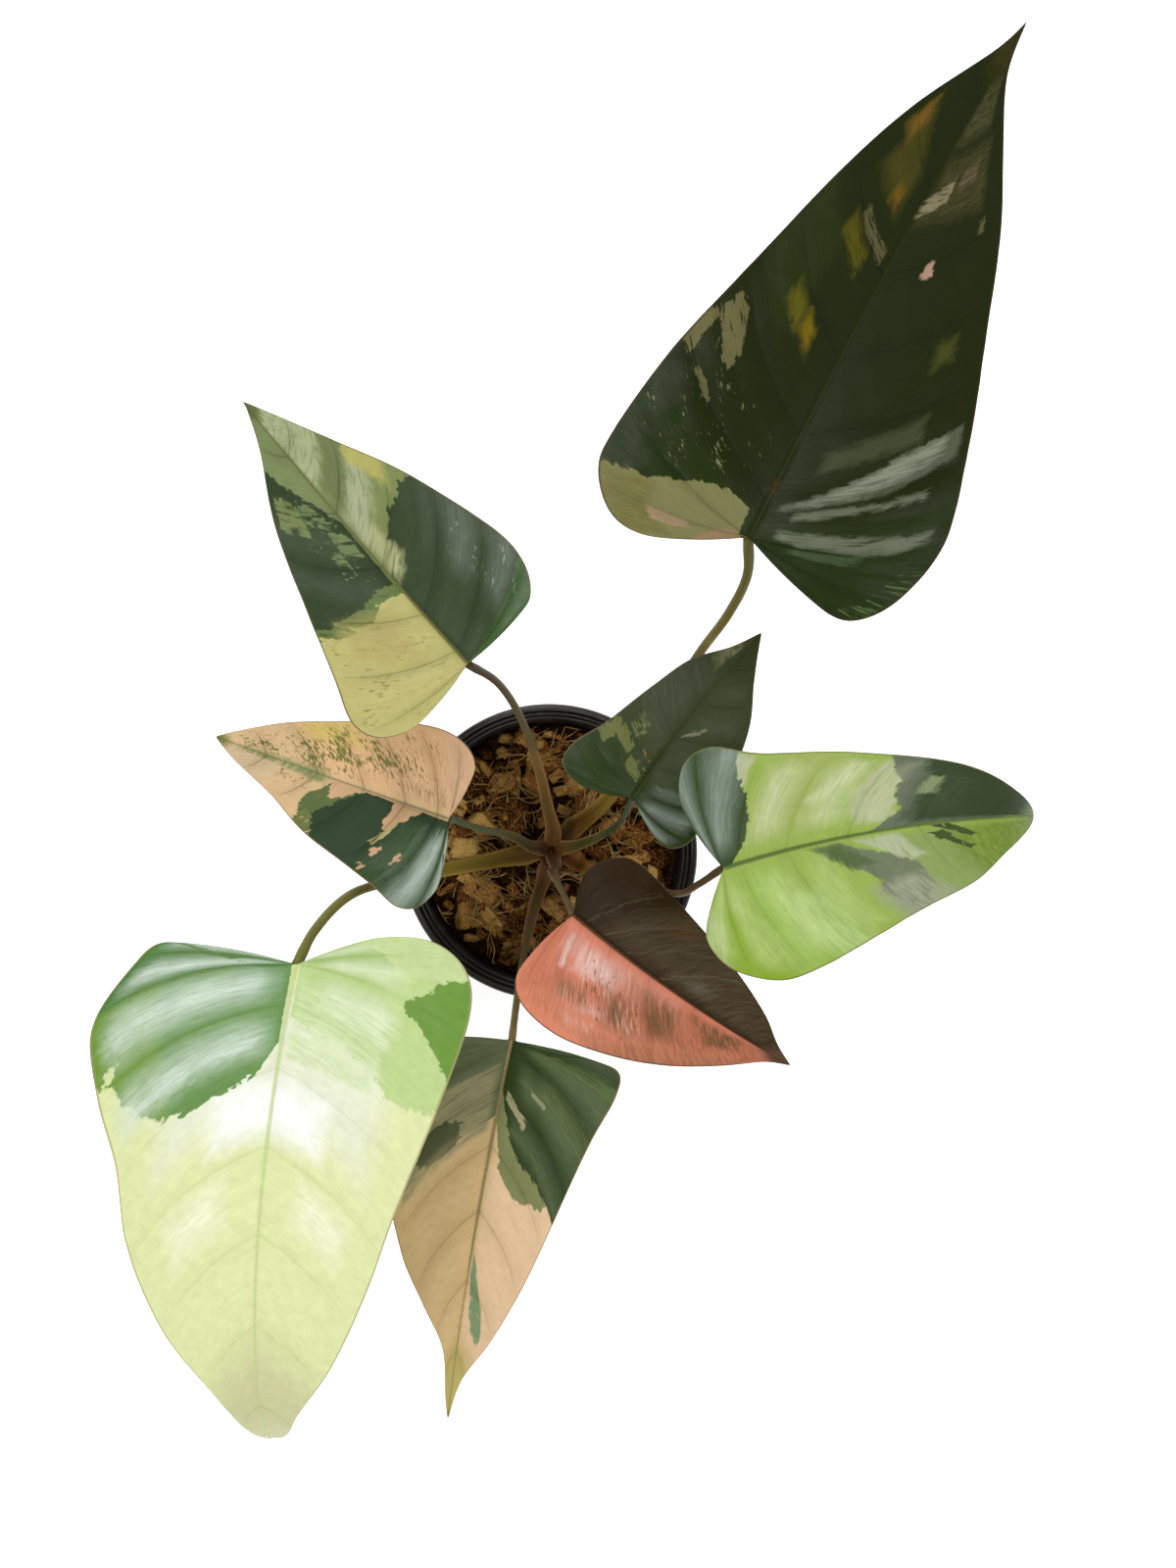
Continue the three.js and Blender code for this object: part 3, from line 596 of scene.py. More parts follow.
# The big chips, placed and shaped as in the part's source, and the splinters and crumbs between them.
# sizes are the least and greatest length, width and thickness, skew how uneven the corners are, tilt
# the greatest turn out of level in radians, and cell the width of a face.
CHIP_KINDS = [
    dict(seed=11, count=HUSK_CHIPS, off_crown=HUSK_CLEAR_RADIUS, off_wall=6, offset=0, start=0,
         sizes=[(9, 17), (6, 11), (6, 9)], skew=0.16, tilt=0.5, gap=2 * GAP, on_bed=False,
         rise=(-0.5, 1.8), ceiling=math.inf, cell=0.85),
    dict(seed=29, count=SMALL_CHIPS, off_crown=11, off_wall=3, offset=0.45, start=0.7,
         sizes=[(3, 9), (2, 5), (1.5, 4)], skew=0.25, tilt=0.7, gap=GAP, on_bed=True,
         rise=(-0.5, 4.5), ceiling=HUSK_CEILING, cell=0.95),
]


def rotation(x, y, z):
    """The matrix of turns about X, then Y, then Z."""
    cx, sx, cy, sy, cz, sz = [f(a) for a in (x, y, z) for f in (math.cos, math.sin)]
    about_x = np.array([[1, 0, 0], [0, cx, -sx], [0, sx, cx]])
    about_y = np.array([[cy, 0, sy], [0, 1, 0], [-sy, 0, cy]])
    about_z = np.array([[cz, -sz, 0], [sz, cz, 0], [0, 0, 1]])
    return about_z @ about_y @ about_x


def mix_height(x, y):
    swell = math.sin(x / 7.3 + 1.3) * math.cos(y / 8.1) + 0.6 * math.sin((x + y) / 4.9)
    return MIX_TOP + MIX_BUMP * 0.6 * swell


def stalk_roof(courses, x, y, reach):
    """The lowest underside of any stalk within reach of a place."""
    roof = math.inf
    for points, radius in courses:
        near = np.hypot(points[:, 0] - x, points[:, 1] - y) < reach + radius
        if near.any():
            roof = min(roof, points[near, 2].min() - radius)
    return roof


def scattered_chips(courses, kind):
    """Corners and size of each chip of a kind, set round the crown by the golden angle."""
    draw = seeded(kind["seed"])
    reach = inner_radius(MIX_TOP) - kind["off_wall"]
    skew, tilt = kind["skew"], kind["tilt"]
    for i in range(kind["count"]):
        radius = mix(kind["off_crown"], reach, math.sqrt((i + 0.5) / kind["count"]))
        turn = (i + kind["offset"]) * GOLDEN_ANGLE + kind["start"]
        x, y = radius * math.cos(turn), radius * math.sin(turn)
        size = np.array([mix(*span, next(draw)) for span in kind["sizes"]])
        shifts = np.array([[next(draw) - 0.5 for _ in range(3)] for _ in CORNERS])
        corners = size * (np.array(CORNERS) / 2 + skew * shifts)
        turns = [mix(-tilt, tilt, next(draw)), mix(-tilt, tilt, next(draw)), 2 * math.pi * next(draw)]
        corners = corners @ rotation(*turns).T
        top = corners[:, 2].max()
        roof = stalk_roof(courses, x, y, size[0] / 2) - kind["gap"]
        level = mix_height(x, y) if kind["on_bed"] else MIX_TOP
        lie = level + mix(*kind["rise"], next(draw))
        yield corners + (x, y, min(lie, roof - top, kind["ceiling"] - top)), size


def cube_grid(cells):
    """Points of a unit cube's skin from -1 to 1 with cells[axis] cells on each axis, and its faces."""
    points, faces, index = [], [], {}

    def number(key):
        if key not in index:
            index[key] = len(points)
            points.append([2 * k / n - 1 for k, n in zip(key, cells)])
        return index[key]

    for axis in range(3):
        u, v = (axis + 1) % 3, (axis + 2) % 3
        for end in (0, cells[axis]):
            for i in range(cells[u]):
                for j in range(cells[v]):
                    quad = []
                    for di, dj in ((0, 0), (1, 0), (1, 1), (0, 1)):
                        key = [0, 0, 0]
                        key[axis], key[u], key[v] = end, i + di, j + dj
                        quad.append(number(tuple(key)))
                    faces.append(tuple(quad if end else reversed(quad)))
    return np.array(points), faces


def chip_mesh(corners, size, seed, cell):
    """One chip of husk with fibrous sides, grooves along its grain and frayed ends."""
    cells = [max(2, round(side / cell)) for side in size]
    local, faces = cube_grid(cells)
    weights = []
    for corner in CORNERS:
        weights.append(np.prod([(1 + sign * local[:, k]) / 2 for k, sign in enumerate(corner)], axis=0))
    points = np.array(weights).T @ corners
    centre = corners.mean(0)
    rounding = 1 - 0.03 * (np.abs(local) ** 6).sum(1)
    points = centre + (points - centre) * rounding[:, None]
    grain = unit(corners[:4].mean(0) - corners[4:].mean(0))
    out = unit(points - centre)
    across = out - np.outer(out @ grain, grain)
    half = size / 2
    strength = min(1, size[2] / 5)
    for n, (place, radial) in enumerate(zip(local * half, across)):
        ends = abs(local[n, 0]) ** 6
        fibre = noise.noise(Vector((place[0] * 0.12, place[1] * 1.3 + seed, place[2] * 1.3)))
        lump = noise.noise(Vector((place[0] * 0.3, place[1] * 0.35, place[2] * 0.35 + seed)))
        fray = noise.noise(Vector((seed, place[1] * 1.9, place[2] * 1.9 + 5)))
        points[n] += radial * (1.1 * fibre + 0.7 * lump) * strength
        points[n] += grain * math.copysign(3.4 * fray * ends * strength, local[n, 0])
    return points, faces, local * half


def husk_chips_piece(courses, material):
    """All chips of husk, each with its own tone, and the grain of each along its length."""
    points, faces, grain_map, tone_map = [], [], [], []
    tone = seeded(5)
    count = 0
    for kind in CHIP_KINDS:
        for corners, size in scattered_chips(courses, kind):
            made, quads, local = chip_mesh(corners, size, count * 0.37, kind["cell"])
            first = len(points)
            points.extend(made)
            faces.extend(tuple(first + k for k in quad) for quad in quads)
            shift = 3.1 * count
            for long, wide, deep in local:
                grain_map.append((shift % 7 + long / 10, shift % 5 + (wide + deep) / 10))
            tone_map.extend([(next(tone), next(tone))] * len(made))
            count += 1
    points = np.array(points)
    reach = np.hypot(points[:, 0], points[:, 1])
    limit = inner_radius(np.clip(points[:, 2], POT_FLOOR, POT_HEIGHT)) - GAP
    points[:, :2] *= np.minimum(1, limit / np.maximum(reach, 1e-6))[:, None]
    points[:, 2] = np.minimum(points[:, 2], HUSK_CEILING)
    piece("husk_chips", points, faces, material, "potting_mix",
          {"Grain": grain_map, "Tone": tone_map})


def husk_bed_piece(material):
    """The husk below the chips: a body that fills the pot, with a crumbly top."""
    sides = 120
    radii = [0.2, *np.linspace(1.5, inner_radius(MIX_TOP) - 2, 44)]
    angle = even_angles(sides)
    rings = []
    for radius in radii:
        ring = []
        for turn in angle:
            x, y = radius * math.cos(turn), radius * math.sin(turn)
            crumb = noise.fractal(Vector((x * 0.4, y * 0.4, 3)), 0.8, 2.2, 3)
            ring.append((x, y, mix_height(x, y) - 0.8 + 1.5 * crumb))
        rings.append(ring)
    low = POT_FLOOR + GAP
    below = [(inner_radius(MIX_TOP) - GAP, MIX_TOP - 1), (inner_radius(low) - GAP, low), (0.2, low)]
    for radius, height in below:
        rings.append([(radius * math.cos(turn), radius * math.sin(turn), height) for turn in angle])
    points = np.array(rings).reshape(-1, 3)
    flat_map = points[:, :2] / 10
    piece("husk_bed", points, tube_faces(len(rings), sides), material, None,
          {"Grain": flat_map, "Tone": np.full((len(points), 2), 0.2)})


def fibre_points(draw, courses, start, heading):
    """The slightly bent course of one loose fibre over the husk."""
    heading += mix(-0.45, 0.45, next(draw))
    curl = mix(-0.07, 0.07, next(draw))
    count = int(mix(6, 20, next(draw)))
    base = mix(1.5, 5.5, next(draw))
    arc = mix(-0.5, 3, next(draw))
    phase = 2 * math.pi * next(draw)
    place = start + (mix(-2, 2, next(draw)), mix(-2, 2, next(draw)), 0)
    points = []
    for i in range(count):
        heading += curl + 0.12 * math.sin(phase + i * 0.7)
        place = place + (math.cos(heading), math.sin(heading), 0)
        reach = math.hypot(place[0], place[1])
        place[:2] *= min(1, (inner_radius(MIX_TOP) - 1.2) / max(reach, 1e-6))
        height = MIX_TOP + base + arc * math.sin(math.pi * i / (count - 1)) + 0.25 * math.sin(i + phase)
        roof = stalk_roof(courses, place[0], place[1], 1.5) - 0.8
        points.append((place[0], place[1], min(height, roof, HUSK_CEILING - 0.4)))
    return np.array(points)


def husk_fibres_piece(courses, material):
    """Tufts of loose fibres that stick out of the chips and lie over them."""
    draw = seeded(83)
    sides = 5
    points, faces, grain_map, tone_map = [], [], [], []
    angle = even_angles(sides)
    for _ in range(HUSK_TUFTS):
        turn = 2 * math.pi * next(draw)
        radius = (inner_radius(MIX_TOP) - 5) * math.sqrt(mix(0.04, 1, next(draw)))
        start = np.array([radius * math.cos(turn), radius * math.sin(turn), 0.0])
        heading = 2 * math.pi * next(draw)
        tone = mix(0.3, 1, next(draw))
        for _ in range(int(mix(2, 8, next(draw)))):
            line = fibre_points(draw, courses, start, heading)
            thick = mix(0.14, 0.38, next(draw))
            along = unit(np.gradient(line, axis=0))
            side = unit(np.cross(along, (0, 0, 1)) + (1e-6, 0, 0))
            above = np.cross(side, along)
            taper = thick * np.sin(np.pi * np.linspace(0.06, 0.94, len(line))) ** 0.5
            around = side[:, None] * np.cos(angle)[:, None] + above[:, None] * np.sin(angle)[:, None]
            rings = line[:, None] + around * taper[:, None, None]
            faces += tube_faces(len(line), sides, first=len(points))
            points.extend(rings.reshape(-1, 3))
            grain_map.extend((i / 10, k / 10) for i in range(len(line)) for k in range(sides))
            tone_map.extend([(tone, next(draw))] * len(line) * sides)
    piece("husk_fibres", np.array(points), faces, material, None,
          {"Grain": grain_map, "Tone": tone_map})


# Materials
LIGHT = 1.5  # how much brighter the studio light makes a surface than its own colour
VEIL = 0.007  # brightness that the gloss adds to every colour


def seen(red, green, blue):
    """The surface colour that looks like this colour (0 to 255) in the studio light."""
    linear = []
    for value in (red, green, blue):
        share = value / 255
        linear.append(share / 12.92 if share < 0.04045 else ((share + 0.055) / 1.055) ** 2.4)
    return tuple(min(max(value - VEIL, 0.002) / LIGHT, 0.95) for value in linear) + (1.0,)


class Graph:
    """Nodes of one material. Each call adds a node and returns its output socket."""

    def __init__(self, name, **shader):
        self.material = bpy.data.materials.new(name)
        self.material.use_nodes = True
        self.tree = self.material.node_tree
        self.tree.nodes.clear()
        self.shader = self.tree.nodes.new("ShaderNodeBsdfPrincipled")
        output = self.tree.nodes.new("ShaderNodeOutputMaterial")
        self.tree.links.new(self.shader.outputs[0], output.inputs["Surface"])
        for label, value in shader.items():
            self.shader.inputs[label.replace("_", " ")].default_value = value

    def put(self, socket, value):
        if isinstance(value, bpy.types.NodeSocket):
            self.tree.links.new(value, socket)
        else:
            socket.default_value = value

    def node(self, kind, settings=None, **inputs):
        made = self.tree.nodes.new("ShaderNode" + kind)
        for label, value in (settings or {}).items():
            setattr(made, label, value)
        for label, value in inputs.items():
            self.put(made.inputs[label], value)
        return made

    def math(self, operation, a, b=0.0, clamp=False):
        made = self.node("Math", {"operation": operation, "use_clamp": clamp})
        self.put(made.inputs[0], a)
        self.put(made.inputs[1], b)
        return made.outputs[0]

    def scaled(self, value, factor, shift=0.0, clamp=False):
        """value * factor + shift"""
        made = self.node("Math", {"operation": "MULTIPLY_ADD", "use_clamp": clamp})
        for socket, number in zip(made.inputs, (value, factor, shift)):
            self.put(socket, number)
        return made.outputs[0]

    def off_middle(self, share):
        """How far a share lies from one half: 0 there, and 1 at either end."""
        return self.math("ABSOLUTE", self.scaled(share, 2, -1))

    def above(self, value, edge, width):
        """0 where value is below edge and 1 where it is above, over a rise of this width."""
        return self.scaled(self.math("SUBTRACT", value, edge), 1 / width, 0.5, clamp=True)

    def mix(self, share, a, b):
        made = self.node("Mix", {"data_type": "RGBA"})
        for socket, value in zip((made.inputs[0], made.inputs[6], made.inputs[7]), (share, a, b)):
            self.put(socket, value)
        return made.outputs[2]

    def paint(self, mask, colour, shade):
        """The colour with a shade, as seen from 0 to 255, laid over it where the mask is 1."""
        return self.mix(mask, colour, seen(*shade))

    def tint(self, colour, brightness):
        """The colour times a brightness."""
        made = self.node("VectorMath", {"operation": "SCALE"})
        self.put(made.inputs[0], colour)
        self.put(made.inputs["Scale"], brightness)
        return made.outputs[0]

    def multiplied(self, colour, factors):
        """The colour times a factor for each of red, green and blue."""
        made = self.node("VectorMath", {"operation": "MULTIPLY"})
        self.put(made.inputs[0], colour)
        self.put(made.inputs[1], factors)
        return made.outputs[0]

    def join(self, x, y, z=0.0):
        return self.node("CombineXYZ", X=x, Y=y, Z=z).outputs[0]

    def place(self, label):
        """The two numbers of a UV map."""
        split = self.node("SeparateXYZ", Vector=self.node("UVMap", {"uv_map": label}).outputs[0])
        return split.outputs[0], split.outputs[1]

    def noise(self, where, scale, detail):
        """A noise from about 0 to 1."""
        made = self.node("TexNoise", {"noise_dimensions": "3D"}, Vector=where, Scale=scale, Detail=detail)
        return made.outputs["Fac"]

    def cells(self, where):
        """Three random numbers for the cell that holds a place."""
        made = self.node("TexVoronoi", {"voronoi_dimensions": "2D"}, Vector=where, Scale=1.0)
        return self.node("SeparateXYZ", Vector=made.outputs["Color"]).outputs

    def curve(self, value, heights):
        """A line of straight stretches through heights at even distances, for value from 0 to 1."""
        if len(heights) == 1:
            return heights[0]
        made = self.node("FloatCurve", Value=value)
        points = made.mapping.curves[0].points
        for _ in heights[2:]:
            points.new(0.5, 0.5)
        for k, height in enumerate(heights):
            points[k].location = (k / (len(heights) - 1), height)
            points[k].handle_type = "VECTOR"
        made.mapping.update()
        return made.outputs[0]

    def ramp(self, value, stops):
        """The colours of the stops, as they look in the light, with even blends between them."""
        made = self.node("ValToRGB", Fac=value)
        elements = made.color_ramp.elements
        while len(elements) < len(stops):
            elements.new(0.5)
        for element, (place, colour) in zip(elements, stops):
            element.position = place
            element.color = seen(*colour)
        return made.outputs[0]

    def bump(self, height, distance, strength):
        made = self.node("Bump", Height=height, Distance=distance, Strength=strength)
        self.put(self.shader.inputs["Normal"], made.outputs[0])

    def finish(self, colour, roughness):
        self.put(self.shader.inputs["Base Color"], colour)
        self.put(self.shader.inputs["Roughness"], roughness)
        return self.material


# Markings of the leaves. A patch is (colour, columns, low, high, softness in millimetres, share): it
# covers the rows between low and high. Columns run from the left margin (1) over the midrib (0) to the
# right margin (-1), and rows from the base (0) round each margin to the tip (1). low and high are lists
# of rows at even steps over the patch's columns, from the one nearest the right margin to the one
# nearest the left. Where the share is under 1, the patch breaks into streaks along the veins, and the
# lower the share is, the less of it is left. flecks are the same with fine specks and strands with fine
# fibres. sheens are painted highlights: soft pale bands on the crests of the pleats, with a strength for a
# share. The vein factors are what the colour is multiplied by on the side veins and, as painted shade,
# in the troughs between the pleats; jag is how ragged the edges are, lines how plain the veins and that
# painted shade are, hair how strong the fine fibres are, rib half the width of the midrib at the base in
# millimetres, and gloss the strength of the reflections.
MARKINGS = {
    "upper_right": dict(
        ground=(39, 45, 21), midrib=(48, 50, 24), vein_and_crease_shade=(0.6, 0.65, 0.6), margin=(66, 52, 32),
        jag=0.8, lines=0.6, hair=0.2, rib=0.5, gloss=0.07,
        patches=[
            ((44, 52, 26), (0.4, 1), [0.53], [0.66], 7, 1),
            ((42, 52, 27), (-1, 1), [0], [0.36], 9, 1),
            # Painted highlights: this patch and the next five are grey bands of painted gloss along the
            # pleats of the right half.
            ((66, 72, 48), (-0.72, -0.16), [0.45, 0.45, 0.44], [0.485, 0.48, 0.465], 4, 1),
            ((84, 92, 72), (-0.95, -0.06), [0.415, 0.4, 0.39, 0.385, 0.376],
             [0.448, 0.446, 0.442, 0.43, 0.417, 0.404, 0.384], 2, 1),
            ((132, 137, 118), (-0.86, -0.12), [0.425, 0.41, 0.4, 0.394, 0.388],
             [0.445, 0.443, 0.438, 0.428, 0.415, 0.4, 0.388], 4, 0.8),
            ((98, 104, 84), (-0.82, -0.14), [0.37, 0.369, 0.37, 0.363, 0.358],
             [0.378, 0.379, 0.38, 0.378, 0.374], 2, 0.9),
            ((104, 110, 90), (-0.92, -0.1), [0.308, 0.294, 0.29, 0.294, 0.3, 0.316],
             [0.32, 0.32, 0.322, 0.33, 0.333, 0.337], 3, 0.85),
            ((66, 82, 54), (-0.6, -0.2), [0.26, 0.25, 0.24], [0.288, 0.285, 0.282], 3, 0.9),
            ((84, 100, 60), (-1, -0.84), [0.15], [0.26], 1, 0.25),
            ((124, 122, 80), (0.06, 1), [0], [0.36, 0.355, 0.325, 0.28, 0.25, 0.235, 0.225], 0.5, 1),
            ((112, 108, 60), (0.6, 1), [0.13], [0.25, 0.235, 0.225], 5, 0.8),
            ((148, 122, 92), (0.05, 1), [0], [0.27, 0.17, 0.12, 0.1, 0.08], 4, 0.9),
            ((158, 134, 104), (0.4, 0.7), [0.17], [0.2], 2, 0.8),
            ((104, 100, 64), (0.62, 0.93), [0.44, 0.445, 0.45], [0.47, 0.5, 0.485], 0.6, 0.85),
            ((104, 100, 64), (0.9, 1), [0.39], [0.45, 0.44], 0.6, 0.85),
            ((98, 96, 62), (0.6, 0.8), [0.396], [0.405, 0.41, 0.4], 0.5, 0.85),
            ((92, 88, 28), (0.36, 0.62), [0.56], [0.585], 5, 1),
            ((112, 96, 26), (0.22, 0.4), [0.56, 0.565], [0.585, 0.59], 4, 1),
            ((84, 80, 26), (0.2, 0.6), [0.665], [0.69], 4, 0.9),
            ((78, 58, 30), (-0.03, 0.03), [0.41], [0.43], 2, 0.8),
            ((70, 68, 30), (0.15, 0.75), [0.745, 0.74], [0.79, 0.84], 8, 1),
            ((108, 82, 28), (0.22, 0.4), [0.745], [0.765], 5, 1),
            ((112, 88, 34), (0.6, 0.9), [0.785, 0.78], [0.815, 0.84], 7, 1),
            ((92, 88, 58), (0.08, 0.5), [0.7, 0.697], [0.715, 0.712], 1, 0.7),
            ((70, 74, 34), (-0.8, -0.6), [0.55], [0.58], 5, 1),
            ((176, 142, 120), (-0.4, -0.3), [0.682], [0.698, 0.7, 0.695], 1, 1),
            ((72, 70, 42), (-0.8, 0), [0.74, 0.75, 0.76], [0.83], 7, 0.8),
            ((132, 122, 92), (-0.3, 0.02), [0.775, 0.765], [0.805, 0.785], 1.2, 0.75),
            ((104, 90, 64), (-0.62, -0.36), [0.785], [0.808], 3, 0.8),
            ((96, 90, 60), (-0.82, -0.74), [0.705], [0.72], 2, 1),
            ((78, 76, 48), (-0.7, 0.02), [0.85], [0.92], 7, 0.8),
            ((58, 54, 22), (-1, 1), [0.93], [1.1], 12, 1),
        ],
        flecks=[((120, 122, 86), (0.1, 0.95), [0.3], [0.46], 0.5, -0.16)]),
    "upper_left": dict(
        ground=(124, 137, 90), midrib=(96, 92, 48), vein_and_crease_shade=(0.42, 0.45, 0.38), margin=(108, 92, 62),
        jag=0.9, lines=0.6, hair=0.25, rib=0.55, gloss=0.1,
        patches=[
            ((54, 68, 42), (0.02, 1), [0.4], [0.73, 0.77, 0.79, 0.8, 0.815, 0.82], 0.6, 1),
            ((122, 134, 82), (0.52, 0.92), [0.69, 0.695], [0.75, 0.77, 0.76], 0.8, 0.75),
            ((108, 126, 80), (0.28, 0.42), [0.635], [0.66], 0.6, 0.7),
            ((110, 128, 82), (0.08, 0.3), [0.65, 0.66], [0.7, 0.72], 0.6, 0.6),
            ((112, 128, 84), (0.2, 0.52), [0.72], [0.745, 0.765, 0.76], 0.6, 0.6),
            ((102, 118, 66), (0, 1), [0.3], [0.585, 0.58, 0.565, 0.535, 0.52, 0.5, 0.48, 0.475], 0.5, 0.9),
            ((187, 180, 114), (0, 1), [0], [0.56, 0.555, 0.54, 0.505, 0.49, 0.47, 0.46, 0.45], 0.5, 1),
            ((176, 164, 100), (0.15, 0.85), [0.4], [0.53, 0.51, 0.48], 8, 0.9),
            ((178, 188, 112), (0.3, 1), [0], [0.16], 8, 0.9),
            ((66, 92, 50), (-1, 0), [0], [0.3], 6, 1),
            ((60, 73, 48), (-1, 0), [0.27], [0.56, 0.59, 0.605, 0.625, 0.63, 0.625, 0.61, 0.6], 0.5, 1),
            ((126, 137, 84), (-1, 0), [0.56, 0.59, 0.605, 0.625, 0.63, 0.625, 0.61, 0.6], [0.69], 1, 1),
            ((172, 176, 128), (-0.3, 0), [0.58], [0.68], 4, 0.8),
            ((168, 174, 138), (-0.95, 0), [0.67], [0.735], 5, 0.9),
            ((176, 172, 100), (-1, -0.72), [0.62], [0.73], 4, 1),
            ((112, 124, 80), (-1, -0.1), [0.735], [0.79], 4, 0.85),
            ((168, 175, 134), (-1, 0), [0.8], [0.95], 4, 0.85),
            ((100, 114, 66), (-1, 1), [0.955], [1.1], 4, 1),
        ],
        flecks=[
            ((124, 140, 92), (0.02, 0.6), [0.6], [0.78], 1, -0.05),
            ((150, 142, 88), (0.04, 0.98), [0.18], [0.5], 5, -0.05),
            # Painted highlights: pale specks of painted gloss on the right half.
            ((158, 166, 154), (-0.95, -0.55), [0.22], [0.46], 4, -0.12),
        ],
        # Painted highlights along the crests of the pleats.
        painted_sheens=[
            ((150, 160, 148), (-1, -0.4), [0.18], [0.52], 8, 0.24),
            ((110, 120, 102), (0.1, 1), [0.56], [0.76], 8, 0.2),
        ]),
    "left": dict(
        ground=(216, 184, 140), midrib=(112, 108, 66), vein_and_crease_shade=(0.5, 0.5, 0.42), margin=(140, 102, 70),
        jag=0.8, lines=0.8, hair=0.3, rib=0.42, gloss=0.12,
        patches=[
            ((230, 186, 140), (-1, 0), [0], [0.72], 6, 1),
            ((228, 186, 150), (-1, 0), [0], [0.3], 8, 1),
            ((210, 188, 102), (-1, -0.5), [0.56], [0.72, 0.73, 0.7], 8, 0.9),
            ((206, 184, 148), (0.05, 1), [0.82], [0.98], 6, 0.9),
            ((134, 146, 96), (-0.14, 0.2), [0.72], [0.94], 4, 0.7),
            ((94, 110, 64), (0.08, 0.85), [0.6], [0.705, 0.715, 0.722, 0.72, 0.71, 0.69], 0.5, 1),
            ((108, 118, 64), (0.7, 1), [0.58], [0.68, 0.69, 0.66], 0.6, 0.9),
            ((48, 66, 42), (0.02, 1), [0], [0.615, 0.64, 0.65, 0.66, 0.665, 0.66, 0.63, 0.6], 0.5, 1),
            ((66, 88, 56), (0.1, 1), [0.1], [0.46], 8, 0.9),
            ((206, 168, 128), (0.02, 0.38), [0.43, 0.46, 0.48, 0.5], [0.53, 0.525, 0.52, 0.51], 0.5, 1),
            ((206, 168, 128), (0.02, 0.35), [0.625, 0.65, 0.665], [0.71, 0.69, 0.68], 0.5, 1),
            ((206, 162, 128), (0.58, 0.75), [0.46], [0.47, 0.478, 0.47], 0.4, 1),
            ((200, 162, 126), (0.52, 0.68), [0.4], [0.41], 0.4, 0.9),
            ((196, 158, 120), (0.84, 0.96), [0.452], [0.462], 0.4, 0.9),
            ((178, 168, 118), (0.2, 0.6), [0.48, 0.485], [0.492, 0.5], 0.4, 0.75),
            ((122, 126, 70), (-1, 1), [0.965], [1.1], 4, 1),
        ],
        flecks=[
            ((142, 124, 66), (-0.96, -0.05), [0.34], [0.96], 8, 0.1),
            ((122, 122, 60), (-0.98, -0.3), [0.5], [0.8], 6, 0.25),
            ((116, 120, 62), (-0.6, -0.04), [0.62], [0.92], 5, 0.3),
            ((150, 128, 78), (0.04, 0.5), [0.7], [0.95], 5, 0.1),
        ],
        strands=[
            ((166, 128, 84), (-0.95, -0.03), [0.02], [0.8], 5, 0.22),
            ((112, 84, 50), (-0.4, -0.02), [0.02], [0.5], 4, 0.25),
        ],
        # Painted highlights along the crests of the pleats.
        painted_sheens=[((182, 196, 184), (0.1, 1), [0.1], [0.38], 7, 0.8)]),
    "inner_right": dict(
        ground=(60, 69, 42), midrib=(52, 62, 36), vein_and_crease_shade=(0.5, 0.55, 0.5), margin=(104, 92, 64),
        jag=0.6, lines=0.5, hair=0.3, rib=0.5, gloss=0.1,
        patches=[
            ((46, 60, 30), (-1, 1), [0.1], [0.45], 9, 0.9),
            ((74, 78, 62), (0.1, 1), [0.56], [0.8], 8, 0.8),
            ((104, 108, 64), (0.78, 0.98), [0.405], [0.48], 0.4, 1),
            ((104, 108, 64), (0.42, 0.82), [0.455, 0.45], [0.488, 0.495, 0.49], 0.4, 0.9),
            ((98, 102, 58), (0.08, 0.38), [0.4, 0.41, 0.425], [0.43, 0.455, 0.46], 0.4, 0.8),
            ((120, 104, 60), (0.1, 0.3), [0.49, 0.505], [0.5, 0.52], 0.5, 0.8),
            ((98, 104, 66), (0.5, 0.75), [0.505], [0.53, 0.52], 0.5, 0.8),
            ((92, 98, 64), (0.5, 0.75), [0.545, 0.54], [0.565, 0.56], 0.5, 0.75),
            ((130, 128, 98), (-0.36, -0.06), [0.665, 0.648, 0.63], [0.672, 0.662, 0.635], 0.5, 1),
            ((124, 124, 90), (0.35, 1), [0.84], [0.93], 5, 0.75),
            ((66, 68, 38), (-1, 1), [0.94], [1.1], 4, 1),
        ],
        flecks=[((104, 110, 72), (0.02, 0.9), [0.4], [0.6], 2, -0.12)],
        # Painted highlights along the crests of the pleats.
        painted_sheens=[
            ((160, 170, 160), (-0.95, -0.1), [0.1], [0.42], 5, 0.5),
            ((108, 116, 98), (-0.9, -0.1), [0.45], [0.8], 6, 0.2),
        ]),
    "right": dict(
        ground=(150, 174, 82), midrib=(66, 88, 44), vein_and_crease_shade=(0.6, 0.66, 0.5), margin=(116, 116, 62),
        jag=0.6, lines=0.35, hair=0.22, rib=0.8, gloss=0.12,
        patches=[
            ((156, 174, 92), (0.05, 1), [0.4], [0.56], 10, 1),
            ((182, 194, 138), (0.4, 0.92), [0.5, 0.54, 0.55], [0.535, 0.575, 0.585], 4, 0.9),
            ((178, 183, 142), (0.08, 0.94), [0.64, 0.605, 0.6, 0.605, 0.61],
             [0.7, 0.69, 0.68, 0.665, 0.65], 3, 0.95),
            ((150, 182, 84), (-1, -0.02), [0.36], [0.46], 7, 0.9),
            ((168, 194, 118), (-1, -0.3), [0.44], [0.52], 6, 0.9),
            ((134, 164, 48), (-1, -0.3), [0.18], [0.34], 6, 1),
            ((166, 184, 126), (-1, -0.5), [0.04], [0.2], 6, 0.8),
            ((180, 182, 136), (0.55, 0.98), [0.33], [0.362], 1, 1),
            ((58, 76, 44), (0, 1), [0], [0.345, 0.385, 0.395, 0.393, 0.385, 0.37, 0.35, 0.335, 0.33], 0.5, 1),
